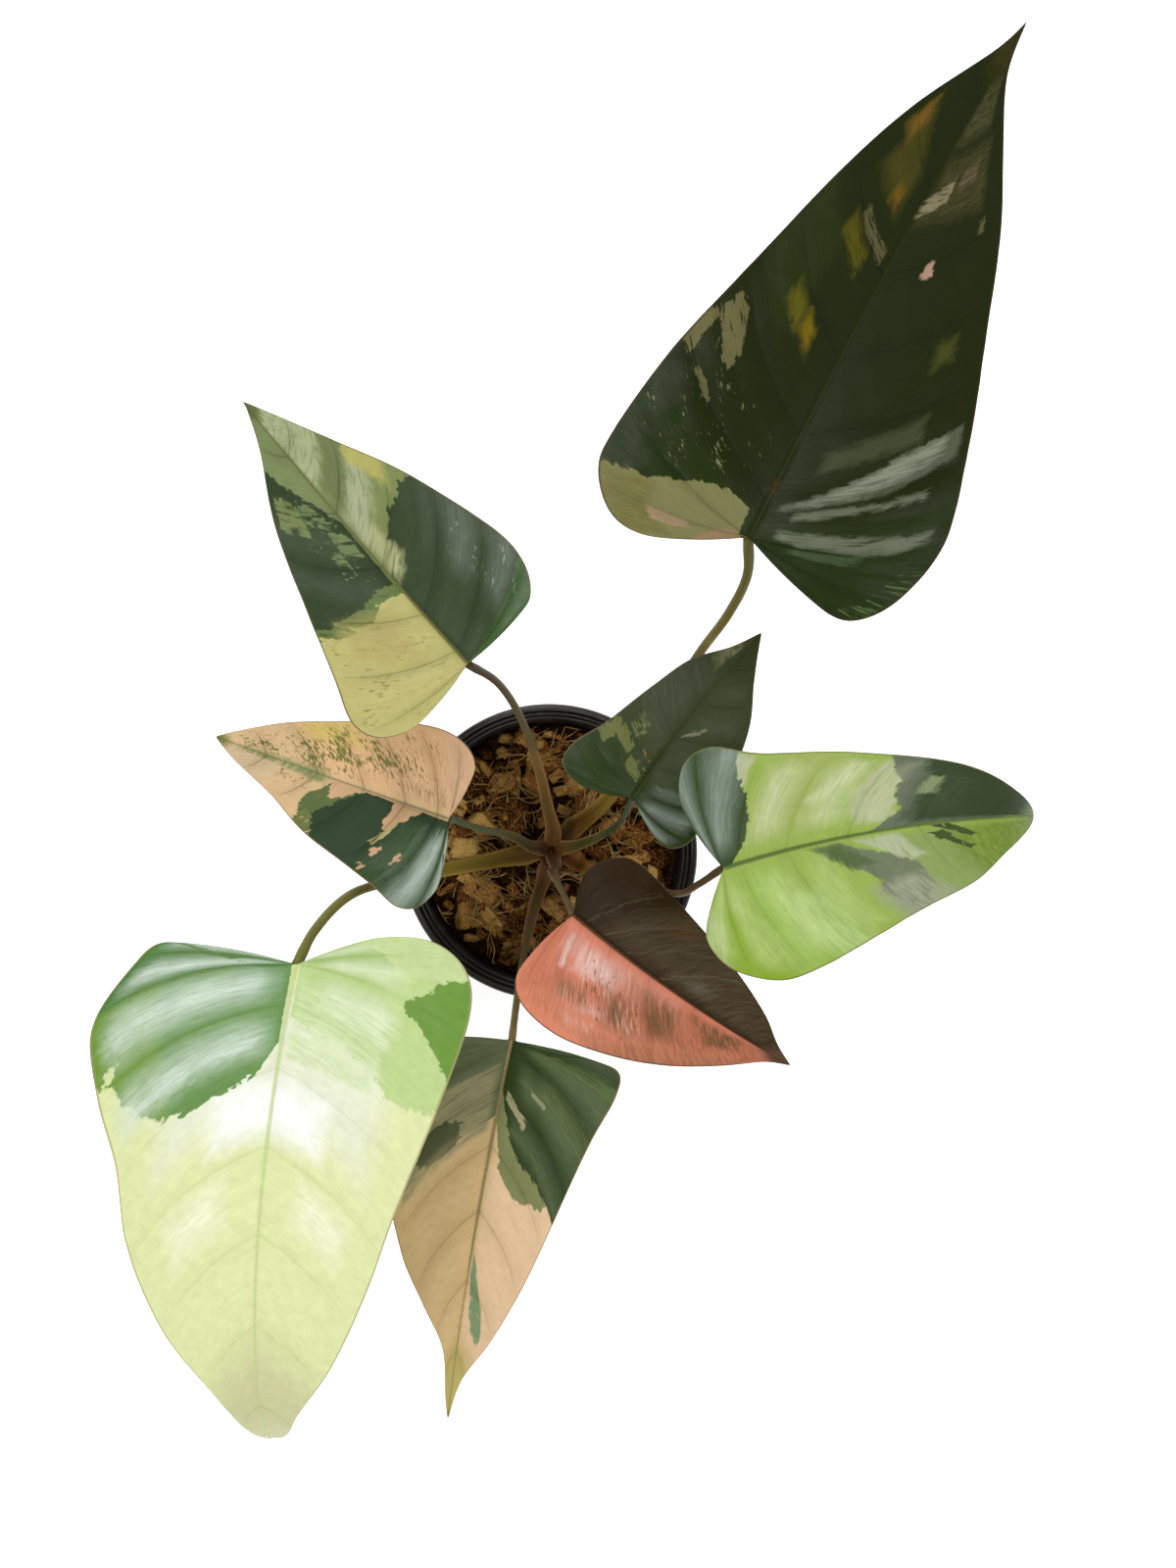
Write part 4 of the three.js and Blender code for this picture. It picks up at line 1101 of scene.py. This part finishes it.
            ((104, 113, 92), (0, 1), [0.665, 0.69, 0.705, 0.685, 0.675, 0.67, 0.645, 0.63, 0.61], [0.9],
             1, 1),
            ((82, 94, 72), (0.04, 1), [0.705, 0.71, 0.705, 0.695, 0.68], [0.9], 4, 0.9),
            ((57, 70, 42), (0.01, 1), [0.735, 0.732, 0.724, 0.716, 0.705, 0.68], [0.99], 4, 1),
            ((66, 80, 52), (0.1, 0.9), [0.74], [0.8], 7, 0.5),
            ((132, 144, 104), (0.44, 0.76), [0.714, 0.71], [0.75, 0.742], 2, 0.85),
            ((104, 120, 82), (0.05, 1), [0.94], [1.1], 5, 1),
            ((140, 160, 92), (-1, -0.02), [0.69], [0.81], 6, 1),
            ((112, 136, 52), (-1, -0.01), [0.78], [0.99], 8, 0.9),
            ((112, 122, 94), (-1, -0.03), [0.62, 0.615, 0.62, 0.615, 0.625, 0.617, 0.597, 0.575, 0.555],
             [0.66, 0.672, 0.698, 0.705, 0.71, 0.703, 0.685, 0.635, 0.6], 1.5, 1),
            ((152, 158, 132), (-1, -0.5), [0.6], [0.72, 0.69], 6, 0.9),
            ((84, 104, 60), (-0.34, -0.02), [0.6, 0.575, 0.54], [0.65, 0.62, 0.6], 3, 0.9),
            ((174, 183, 146), (-0.4, -0.03), [0.7, 0.67, 0.625], [0.735, 0.72, 0.71], 2, 0.9),
            ((66, 84, 42), (-0.3, -0.01), [0.822, 0.8, 0.765], [0.838, 0.822, 0.8], 0.7, 0.9),
            ((66, 84, 42), (-0.5, -0.1), [0.803, 0.782, 0.758], [0.82, 0.8, 0.785], 0.7, 0.9),
            ((106, 128, 48), (-1, 1), [0.965], [1.1], 4, 1),
        ],
        # Painted highlights along the crests of the pleats.
        painted_sheens=[
            ((170, 184, 172), (0.05, 1), [0.05], [0.37], 9, 0.5),
            ((200, 216, 150), (-0.95, -0.06), [0.1], [0.56], 8, 0.42),
            ((206, 212, 172), (0.1, 0.95), [0.4], [0.66], 8, 0.55),
        ]),
    "lower_right": dict(
        ground=(50, 38, 21), midrib=(92, 62, 46), vein_and_crease_shade=(0.7, 0.7, 0.6), margin=(72, 52, 40),
        jag=0.6, lines=0.5, hair=0.6, rib=0.45, gloss=0.07,
        patches=[
            ((82, 70, 50), (0, 1), [0.44], [0.92], 9, 0.9),
            ((88, 58, 34), (0.6, 0.95), [0.48, 0.5], [0.52, 0.53], 5, 0.8),
            ((98, 92, 78), (0.14, 0.5), [0.68], [0.73], 7, 0.8),
            ((76, 66, 48), (0.04, 0.9), [0.375], [0.38], 0.7, 0.9),
            ((84, 76, 58), (0.04, 0.95), [0.45, 0.48, 0.51], [0.456, 0.486, 0.515], 0.7, 0.9),
            ((84, 76, 58), (0.04, 0.95), [0.535, 0.57, 0.615], [0.541, 0.576, 0.62], 0.7, 0.9),
            ((90, 84, 66), (0.04, 0.95), [0.645, 0.665, 0.695], [0.651, 0.671, 0.7], 0.7, 0.85),
            ((212, 128, 101), (-1, 0), [0], [1.1], 0.6, 1),
            ((216, 138, 106), (-1, -0.62), [0], [0.86], 9, 0.8),
            ((234, 166, 152), (-0.42, 0), [0.34], [0.7], 9, 0.95),
            # Painted highlights: this patch and the next four are pale pink streaks of painted gloss on the
            # red half.
            ((238, 198, 190), (-0.42, -0.08), [0.4, 0.42], [0.52, 0.57], 5, 0.8),
            ((236, 200, 190), (-0.44, -0.1), [0.352], [0.37], 2.2, 0.95),
            ((236, 192, 180), (-0.38, -0.28), [0.425], [0.47], 2, 0.9),
            ((232, 184, 170), (-0.7, -0.58), [0.44], [0.51], 3, 0.7),
            ((228, 176, 160), (-0.88, -0.74), [0.4], [0.46], 4, 0.7),
            ((176, 112, 84), (-1, -0.04), [0.52], [0.96], 6, 0.45),
            ((116, 84, 56), (-0.78, -0.32), [0.5], [0.58], 6, 0.75),
            ((114, 84, 58), (-0.76, -0.14), [0.615], [0.705], 6, 0.75),
            ((114, 84, 60), (-0.66, -0.1), [0.76], [0.86], 5, 0.75),
            ((140, 98, 68), (-0.7, -0.42), [0.36], [0.46], 5, 0.6),
            ((140, 98, 72), (-1, -0.8), [0.45], [0.86], 8, 0.7),
            ((96, 74, 56), (-1, 1), [0.93], [1.1], 5, 1),
        ],
        flecks=[((150, 96, 66), (-0.98, -0.1), [0.44], [0.9], 5, 0.0)],
        strands=[
            ((128, 84, 56), (-0.98, -0.04), [0.2], [0.95], 5, 0.36),
            # Painted highlights: pale pink strokes of painted gloss on the red half.
            ((240, 190, 174), (-0.85, -0.03), [0.36], [0.6], 5, 0.25),
            ((76, 66, 48), (0.05, 0.95), [0.35], [0.9], 4, 0.25),
        ]),
    "lower_left": dict(
        ground=(222, 229, 170), midrib=(190, 208, 138), vein_and_crease_shade=(0.72, 0.78, 0.6), margin=(168, 156, 112),
        jag=1.2, lines=0.35, hair=0.1, rib=0.8, gloss=0.14,
        patches=[
            ((230, 234, 208), (-0.8, 0.8), [0.38], [0.55], 18, 1),
            # Painted highlight: the near-white patch about the midrib.
            ((248, 249, 244), (-0.4, 0.42), [0.5, 0.515, 0.5], [0.57, 0.585, 0.57], 12, 1),
            ((244, 247, 226), (-0.75, -0.2), [0.62], [0.66], 14, 0.8),
            ((244, 247, 226), (0.2, 0.75), [0.62], [0.66], 14, 0.8),
            ((206, 207, 156), (-1, 1), [0.82], [1.1], 20, 1),
            ((190, 212, 142), (0.02, 1), [0], [0.42, 0.42, 0.42, 0.43, 0.44, 0.43, 0.4], 0.7, 1),
            ((206, 222, 170), (0.02, 0.6), [0.34], [0.48, 0.47, 0.45], 3, 0.7),
            ((176, 200, 126), (0.02, 0.5), [0], [0.36], 9, 0.9),
            ((160, 190, 112), (0.05, 1), [0.13], [0.24], 6, 0.85),
            ((196, 214, 150), (0.55, 1), [0.1], [0.25], 1, 0.95),
            ((112, 152, 64), (0.62, 1), [0.3, 0.265, 0.235, 0.23], [0.315, 0.33, 0.345, 0.36], 0.5, 1),
            ((106, 146, 80), (-1, -0.01), [0],
             [0.385, 0.405, 0.455, 0.48, 0.49, 0.505, 0.507, 0.505, 0.505, 0.5, 0.46], 0.5, 1),
            ((116, 152, 66), (-1, -0.6), [0.3], [0.385, 0.405, 0.455, 0.48, 0.49], 3, 1),
            ((84, 124, 62), (-1, -0.01), [0], [0.3], 9, 1),
            ((92, 138, 80), (-0.3, -0.01), [0.24], [0.38], 5, 0.9),
            ((210, 222, 160), (-0.95, -0.86), [0.38], [0.395], 0.6, 1),
            ((128, 100, 66), (-1, 1), [0.978], [1.1], 3, 1),
        ],
        # Painted highlights along the crests of the pleats.
        painted_sheens=[
            ((210, 224, 208), (-0.97, -0.02), [0.1], [0.47], 10, 0.85),
            ((236, 242, 220), (0.1, 0.65), [0.12], [0.44], 10, 0.5),
        ]),
    "bottom": dict(
        ground=(208, 178, 126), midrib=(136, 114, 78), vein_and_crease_shade=(0.62, 0.6, 0.5), margin=(140, 104, 72),
        jag=0.8, lines=0.6, hair=0.28, rib=0.5, gloss=0.1,
        patches=[
            ((222, 190, 152), (0, 1), [0.48], [0.92], 4, 1),
            ((140, 132, 92), (-0.03, 0.03), [0.4], [0.76], 1.5, 0.8),
            ((124, 146, 106), (0.03, 0.72), [0.725, 0.755, 0.775, 0.79, 0.8, 0.812],
             [0.76, 0.815, 0.83, 0.833, 0.832, 0.825], 1.5, 0.95),
            ((126, 130, 86), (0, 1), [0.3], [0.5, 0.575, 0.582, 0.582, 0.57, 0.55, 0.53, 0.5, 0.47], 0.6, 1),
            ((48, 64, 31), (0, 1), [0], [0.44, 0.5, 0.522, 0.526, 0.516, 0.512, 0.51, 0.505, 0.5], 0.5, 1),
            ((74, 86, 46), (0.3, 1), [0.33], [0.38], 5, 0.9),
            ((76, 96, 48), (0.2, 1), [0.22], [0.26], 4, 0.8),
            ((156, 150, 114), (0.05, 0.3), [0.435, 0.455], [0.455, 0.47], 0.5, 1),
            ((142, 140, 104), (0.26, 0.44), [0.385], [0.395], 0.5, 1),
            ((96, 106, 74), (-1, 0), [0], [0.5], 0.6, 1),
            ((92, 98, 66), (-1, 0), [0.27], [0.36], 6, 0.8),
            ((146, 140, 100), (-0.9, -0.02), [0.375], [0.52], 3, 0.85),
            ((78, 84, 52), (-0.68, -0.27), [0.455, 0.44, 0.47], [0.49, 0.51, 0.51, 0.505], 0.5, 1),
            ((188, 174, 104), (-1, 1), [0.86, 0.87, 0.86], [1.1], 14, 1),
            ((134, 100, 62), (-1, 1), [0.985], [1.1], 3, 1),
        ],
        # Painted highlights along the crests of the pleats.
        painted_sheens=[
            ((124, 138, 98), (0.1, 1), [0.12], [0.5], 5, 0.35),
            ((222, 196, 150), (-0.95, -0.1), [0.5], [0.85], 8, 0.3),
        ]),
}


# Grain of a blade's tissue: millimetres along the margin and along the veins
STREAK_GRAIN = (1.5, 12)
CLUSTER_GRAIN = (7, 14)
SPECK_GRAIN = (1.1, 3.2)
FIBRE_GRAIN = (0.45, 9)
CELL_GRAIN = (2.2, 3.6)
CRUMB_GRAIN = (0.8, 1.3)
TISSUE_SCALE = 420.0  # cells of the finest grain in 100 millimetres


class LeafGraph(Graph):
    """Nodes of a blade's material, with sockets for the places on the leaf."""

    def map_leaf(self, leaf, look):
        self.row, self.over = self.place("Vein")
        self.along, self.across = self.place("Flat")
        self.flat = self.join(self.along, self.across)
        self.off_rib = self.off_middle(self.over)
        self.run = leaf["length"] * 1.3
        self.width = leaf["half_width"] * 2.1
        self.streaks = self.noise(self.veinward(*STREAK_GRAIN), 1.0, 3.0)
        clusters = self.noise(self.veinward(*CLUSTER_GRAIN), 1.0, 2.0)
        specks = self.scaled(clusters, 0.7, self.noise(self.veinward(*SPECK_GRAIN), 1.0, 3.0))
        self.specks = self.math("SUBTRACT", specks, 0.35)
        self.fibres = self.noise(self.veinward(*FIBRE_GRAIN), 1.0, 2.0)
        self.crest = self.line(self.scaled(self.row, leaf["veins"], 0.5), 0.5)
        self.tissue = self.noise(self.flat, TISSUE_SCALE, 3.0)
        self.fray(look["jag"])

    def veinward(self, long, wide):
        """A place in units of long millimetres along the margin and wide millimetres along the veins."""
        return self.join(self.scaled(self.row, self.run / long), self.scaled(self.over, self.width / wide))

    def fray(self, jag):
        """The row and the place across, shifted by up to about jag millimetres from cell to cell."""
        cell = self.cells(self.veinward(*CELL_GRAIN))
        crumb = self.cells(self.veinward(*CRUMB_GRAIN))
        drift = self.noise(self.flat, 14.0, 2.0)
        hold = self.scaled(self.off_rib, 7, 0, clamp=True)
        shifts = []
        for axis, size in ((0, self.run), (1, self.width)):
            small = self.scaled(crumb[axis], 0.8 * jag / size, -1.9 * jag / size)
            shift = self.scaled(cell[axis], 2 * jag / size, small)
            shifts.append(self.math("ADD", shift, self.scaled(drift, jag / size)))
        self.ragged_row = self.math("ADD", self.row, self.math("MULTIPLY", shifts[0], hold))
        self.ragged_over = self.math("ADD", self.over, self.math("MULTIPLY", shifts[1], hold))

    def cover(self, columns, low, high, soft):
        """1 on a patch and 0 off it, with an edge soft millimetres wide that stays within its columns."""
        near, far = sorted(0.5 + 0.5 * c for c in columns)
        place = self.scaled(self.ragged_over, 1 / (far - near), -near / (far - near), clamp=True)
        above = self.math("SUBTRACT", self.ragged_row, self.curve(place, low))
        below = self.math("SUBTRACT", self.curve(place, high), self.ragged_row)
        inside = self.scaled(self.math("MINIMUM", above, below), self.run)
        for edge, toward, bounded in ((near, self.width, near > 0), (far, -self.width, far < 1)):
            if bounded:
                from_edge = self.scaled(self.ragged_over, toward, -edge * toward - soft / 2)
                inside = self.math("MINIMUM", inside, from_edge)
        return self.scaled(inside, 1 / soft, 0.5, clamp=True)

    def broken(self, mask, texture, share, soft):
        """The mask without the places where the texture is low; a lower share leaves less of it."""
        return self.math("MULTIPLY", mask, self.above(texture, 0.66 - 0.34 * share, 0.06 + 0.06 * soft))

    def line(self, phase, width):
        """1 at whole numbers of phase and 0 beyond this width from them."""
        off = self.math("PINGPONG", phase, 0.5)
        return self.math("SUBTRACT", 1.0, self.scaled(off, 1 / width, 0, clamp=True))


def leaf_colour(graph, leaf, look):
    """The colour of a blade from its markings, painted highlights on its pleats, its veins with painted shade
    in the troughs between the pleats, and the fine variation of its tissue.
    """
    colour = seen(*look["ground"])
    kinds = {"patches": (graph.streaks, 1), "flecks": (graph.specks, 1), "strands": (graph.fibres, 0.5)}
    for kind, (texture, strength) in kinds.items():
        for shade, columns, low, high, soft, share in look.get(kind, []):
            mask = graph.cover(columns, low, high, soft)
            if share < 1:
                mask = graph.broken(mask, texture, share, soft if kind == "patches" else 1)
            if strength < 1:
                mask = graph.scaled(mask, strength)
            colour = graph.paint(mask, colour, shade)
    # Painted highlights: pale bands laid over the colour on the crests of the pleats.
    for shade, columns, low, high, soft, strength in look.get("painted_sheens", []):
        painted_highlight_band = graph.math("MULTIPLY", graph.cover(columns, low, high, soft), graph.crest)
        painted_shine = graph.scaled(graph.streaks, 1.2 * strength, 0.4 * strength)
        colour = graph.paint(graph.math("MULTIPLY", painted_highlight_band, painted_shine, clamp=True), colour, shade)
    main = graph.line(graph.scaled(graph.row, leaf["veins"]), 0.03)
    fine = graph.line(graph.scaled(graph.row, 2 * leaf["veins"]), 0.035)
    fading = graph.scaled(graph.math("POWER", graph.off_rib, 4.0), -look["lines"], look["lines"])
    # Painted shade: the troughs between the pleats are darkened by the same factors as the side veins.
    painted_trough_shade = graph.math("POWER", graph.scaled(graph.crest, -1, 1), 2.5)
    lines = graph.scaled(fine, 0.3, graph.scaled(main, 0.65, graph.scaled(painted_trough_shade, 0.5)))
    veins = graph.math("MULTIPLY", lines, fading, clamp=True)
    colour = graph.mix(veins, colour, graph.multiplied(colour, look["vein_and_crease_shade"]))
    rib_width = graph.scaled(graph.along, -0.7 * look["rib"] / leaf["length"] * 100, look["rib"])
    rib = graph.math("SUBTRACT", rib_width, graph.math("ABSOLUTE", graph.scaled(graph.across, 100)))
    past_base = graph.above(graph.along, 0.0, 0.02)
    on_rib = graph.math("MULTIPLY", graph.scaled(rib, 1.4, 0.5, clamp=True), past_base)
    colour = graph.paint(graph.scaled(on_rib, 0.8), colour, look["midrib"])
    cloud = graph.noise(graph.flat, 22.0, 2.0)
    varied = graph.scaled(graph.fibres, look["hair"], 0.68 - look["hair"] / 2)
    for texture, share in ((graph.streaks, 0.16), (cloud, 0.2), (graph.tissue, 0.28)):
        varied = graph.scaled(texture, share, varied)
    colour = graph.tint(colour, varied)
    rim = graph.above(graph.off_rib, 0.988, 0.008)
    return graph.paint(graph.scaled(rim, 0.75), colour, look["margin"])


UNDERSIDE = (150, 160, 120)  # the pale shade over a blade's colours on its underside


def leaf_materials(name, leaf, look):
    """The upper surface of a blade, semi-glossy, and its paler, duller underside."""
    made = []
    for under in (False, True):
        side = "under" if under else "upper"
        graph = LeafGraph(f"leaf_{name}_{side}", Specular_IOR_Level=0.15 if under else look["gloss"])
        graph.map_leaf(leaf, look)
        colour = leaf_colour(graph, leaf, look)
        if under:
            colour = graph.paint(0.35, colour, UNDERSIDE)
        texture = graph.scaled(graph.fibres, 0.6, graph.scaled(graph.tissue, 0.3))
        graph.bump(graph.scaled(graph.streaks, 0.5, texture), 0.0003, 0.5)
        toward_tip = graph.scaled(graph.row, 3.2, -1.1, clamp=True)
        rough = graph.scaled(graph.tissue, 0.12, graph.scaled(graph.fibres, 0.12, 0.4 if under else 0.16))
        rough = graph.scaled(toward_tip, 0.22, rough)
        made.append(graph.finish(colour, rough))
    return made


# Colours of the stalks: at the blade, in the middle, of the sheath, at the foot and of the sheath's wings
STALK_COLOURS = {
    "upper_right": [(98, 92, 44), (136, 118, 56), (142, 116, 50), (112, 74, 40), (176, 146, 80)],
    "upper_left": [(78, 64, 40), (94, 82, 50), (124, 96, 54), (122, 86, 52), (184, 138, 90)],
    "left": [(82, 90, 60), (94, 100, 68), (102, 94, 62), (100, 62, 42), (160, 124, 90)],
    "inner_right": [(58, 68, 40), (68, 76, 44), (90, 86, 48), (120, 84, 48), (180, 134, 82)],
    "right": [(84, 68, 42), (104, 82, 46), (150, 104, 52), (128, 84, 44), (168, 120, 70)],
    "lower_right": [(104, 84, 58), (104, 92, 68), (108, 88, 64), (104, 68, 48), (178, 140, 104)],
    "lower_left": [(118, 118, 58), (122, 114, 48), (138, 118, 48), (112, 74, 40), (182, 148, 78)],
    "bottom": [(126, 112, 68), (88, 78, 48), (98, 78, 48), (106, 74, 46), (178, 120, 84)],
}


WING_TURN_SHARE = 0.33  # where the wings are, as a share of half a turn from the sheath's inner side


def stalk_material(name):
    """A stalk with its own colours from the blade to the foot, pale wings on its sheath, and fine lines."""
    graph = Graph(f"stalk_{name}", Specular_IOR_Level=0.1)
    share, turn = graph.place("Stalk")
    distance, girth = graph.place("Length")
    top, middle, sheath, foot, wing = STALK_COLOURS[name]
    lines = graph.noise(graph.join(graph.scaled(distance, 2.0), graph.scaled(turn, 14.0)), 3.0, 3.0)
    wander = graph.math("ADD", share, graph.scaled(lines, 0.2, -0.1))
    body = graph.ramp(wander, [(0.03, foot), (0.16, sheath), (0.42, sheath), (0.52, middle), (0.92, top)])
    from_wing = graph.math("SUBTRACT", graph.off_middle(turn), WING_TURN_SHARE)
    from_wing = graph.math("ABSOLUTE", from_wing)
    on_wing = graph.scaled(from_wing, -14, 1, clamp=True)
    on_wing = graph.math("MULTIPLY", on_wing, graph.above(share, SHEATH_SHARE, -0.03))
    body = graph.paint(graph.scaled(on_wing, 0.65), body, wing)
    speck = graph.noise(graph.join(distance, girth), 240.0, 3.0)
    body = graph.tint(body, graph.scaled(lines, 0.7, graph.scaled(speck, 0.4, 0.45)))
    graph.bump(graph.scaled(lines, 1.0, graph.scaled(speck, 0.3)), 0.0004, 0.6)
    return graph.finish(body, graph.scaled(speck, 0.2, 0.32))


def crown_material():
    """Reddish brown stem tissue with darker scars."""
    graph = Graph("crown_tissue", Specular_IOR_Level=0.08)
    where = graph.node("TexCoord").outputs["Object"]
    patches = graph.noise(where, 260.0, 3.0)
    grain = graph.noise(where, 1500.0, 2.0)
    colour = graph.ramp(patches, [(0.35, (58, 34, 24)), (0.5, (104, 62, 42)), (0.65, (140, 94, 62))])
    graph.bump(graph.scaled(patches, 1.0, grain), 0.0004, 0.7)
    return graph.finish(colour, graph.scaled(grain, 0.3, 0.5))


REDDER = (0.62, 0.46, 0.37)  # what the colour of a damp, reddish chip is multiplied by


def husk_material(name, dark, middle, light):
    """Fibrous husk: streaks along the grain, dark pits and a tone of its own for each chip."""
    graph = Graph(name, Specular_IOR_Level=0.04)
    along, around = graph.place("Grain")
    tone, warmth = graph.place("Tone")
    fibres = graph.noise(graph.join(graph.scaled(along, 1.2), graph.scaled(around, 16.0)), 2.0, 4.0)
    pith = graph.noise(graph.join(along, around), 12.0, 4.0)
    value = graph.scaled(fibres, 2.0, graph.scaled(tone, 0.9, graph.scaled(pith, 1.3, -1.6)))
    colour = graph.ramp(value, [(0.15, dark), (0.5, middle), (0.9, light)])
    colour = graph.mix(graph.scaled(warmth, 0.8), colour, graph.multiplied(colour, REDDER))
    graph.bump(graph.scaled(fibres, 1.0, graph.scaled(pith, 0.6)), 0.0009, 1.0)
    return graph.finish(colour, graph.scaled(pith, 0.2, 0.7))


def pot_material():
    """Black moulded plastic: fine turned lines, scuffs, and a little dust from the husk."""
    graph = Graph("black_plastic", Specular_IOR_Level=0.5)
    where = graph.node("TexCoord").outputs["Object"]
    split = graph.node("SeparateXYZ", Vector=where)
    scuff = graph.noise(where, 60.0, 4.0)
    grain = graph.noise(where, 900.0, 3.0)
    lines = graph.noise(graph.join(0.0, 0.0, graph.scaled(split.outputs[2], 900.0)), 1.0, 2.0)
    dusty = graph.above(graph.noise(where, 130.0, 4.0), 0.6, 0.12)
    plastic = graph.ramp(scuff, [(0.35, (22, 22, 23)), (0.7, (40, 39, 38))])
    colour = graph.paint(graph.scaled(dusty, 0.22), plastic, (92, 74, 56))
    graph.bump(graph.scaled(grain, 0.6, lines), 0.0002, 0.5)
    return graph.finish(colour, graph.scaled(scuff, 0.25, 0.28))


# The studio
MIDDLE = (0.02, 0.03, 0.15)  # what the lights point at, in metres
SURROUND = 0.6  # brightness of the pale surround
SOFT_LIGHTS = [  # name, place and width in metres, power in watts
    ("window_above", (-0.36, 1.13, 1.65), 0.36, 14),
    ("window_left", (-0.78, -0.12, 1.86), 0.36, 10),
    ("window_right", (1.06, -0.03, 1.73), 0.36, 9),
    ("window_front", (0.0, -1.3, 1.7), 1.2, 14),
]


def floor_material():
    """White board that shines a little of its own."""
    graph = Graph("pale_floor", Specular_IOR_Level=0.2, Emission_Color=(1, 1, 1, 1), Emission_Strength=0.5)
    where = graph.node("TexCoord").outputs["Object"]
    grain = graph.noise(where, 40.0, 3.0)
    return graph.finish(graph.tint((0.95, 0.95, 0.95), graph.scaled(grain, 0.02, 0.98)), 0.8)


def studio():
    """A white floor, four soft lamps, a pale surround, and the camera straight above."""
    bpy.ops.mesh.primitive_plane_add(size=8, location=(0, 0, -0.0004))
    floor = bpy.context.object
    floor.name = "studio_floor"
    floor.data.materials.append(floor_material())
    scene = bpy.context.scene
    scene.view_settings.view_transform = "Standard"
    scene.view_settings.look = "None"
    world = bpy.data.worlds.new("studio_surround")
    world.use_nodes = True
    world.node_tree.nodes["Background"].inputs["Color"].default_value = (1, 1, 1, 1)
    world.node_tree.nodes["Background"].inputs["Strength"].default_value = SURROUND
    scene.world = world
    for name, place, size, power in SOFT_LIGHTS:
        data = bpy.data.lights.new(name, "AREA")
        data.shape = "DISK"
        data.size = size
        data.energy = power
        lamp = bpy.data.objects.new(name, data)
        lamp.location = place
        lamp.rotation_euler = (Vector(MIDDLE) - Vector(place)).to_track_quat("-Z", "Y").to_euler()
        scene.collection.objects.link(lamp)
    data = bpy.data.cameras.new("overhead_camera")
    data.sensor_fit = "VERTICAL"
    data.sensor_height = SENSOR
    data.lens = FOCAL / IMAGE_HEIGHT * SENSOR
    data.clip_end = 20
    camera = bpy.data.objects.new("overhead_camera", data)
    camera.location = np.array(CAMERA) * MM
    scene.collection.objects.link(camera)
    scene.camera = camera


# The object
courses = []
for leaf in LEAVES.values():
    path = stalk_course(leaf, CROWN_RADIUS + GAP)[0]
    courses.append((evenly(path, 41)[0], leaf["radius"][0]))

pot_piece(pot_material())
husk_bed_piece(husk_material("husk_shadow", (44, 28, 16), (108, 73, 42), (172, 122, 72)))
chips = husk_material("husk_chip", (52, 31, 17), (204, 143, 78), (255, 212, 130))
husk_chips_piece(courses, chips)
husk_fibres_piece(courses, husk_material("husk_fibre", (168, 118, 62), (236, 184, 108), (255, 226, 156)))
crown_piece(crown_material())
for number, (name, leaf) in enumerate(LEAVES.items()):
    stalk_piece(name, leaf, number, stalk_material(name))
    blade_piece(name, leaf, 2.7 * number, leaf_materials(name, leaf, MARKINGS[name]))

studio()
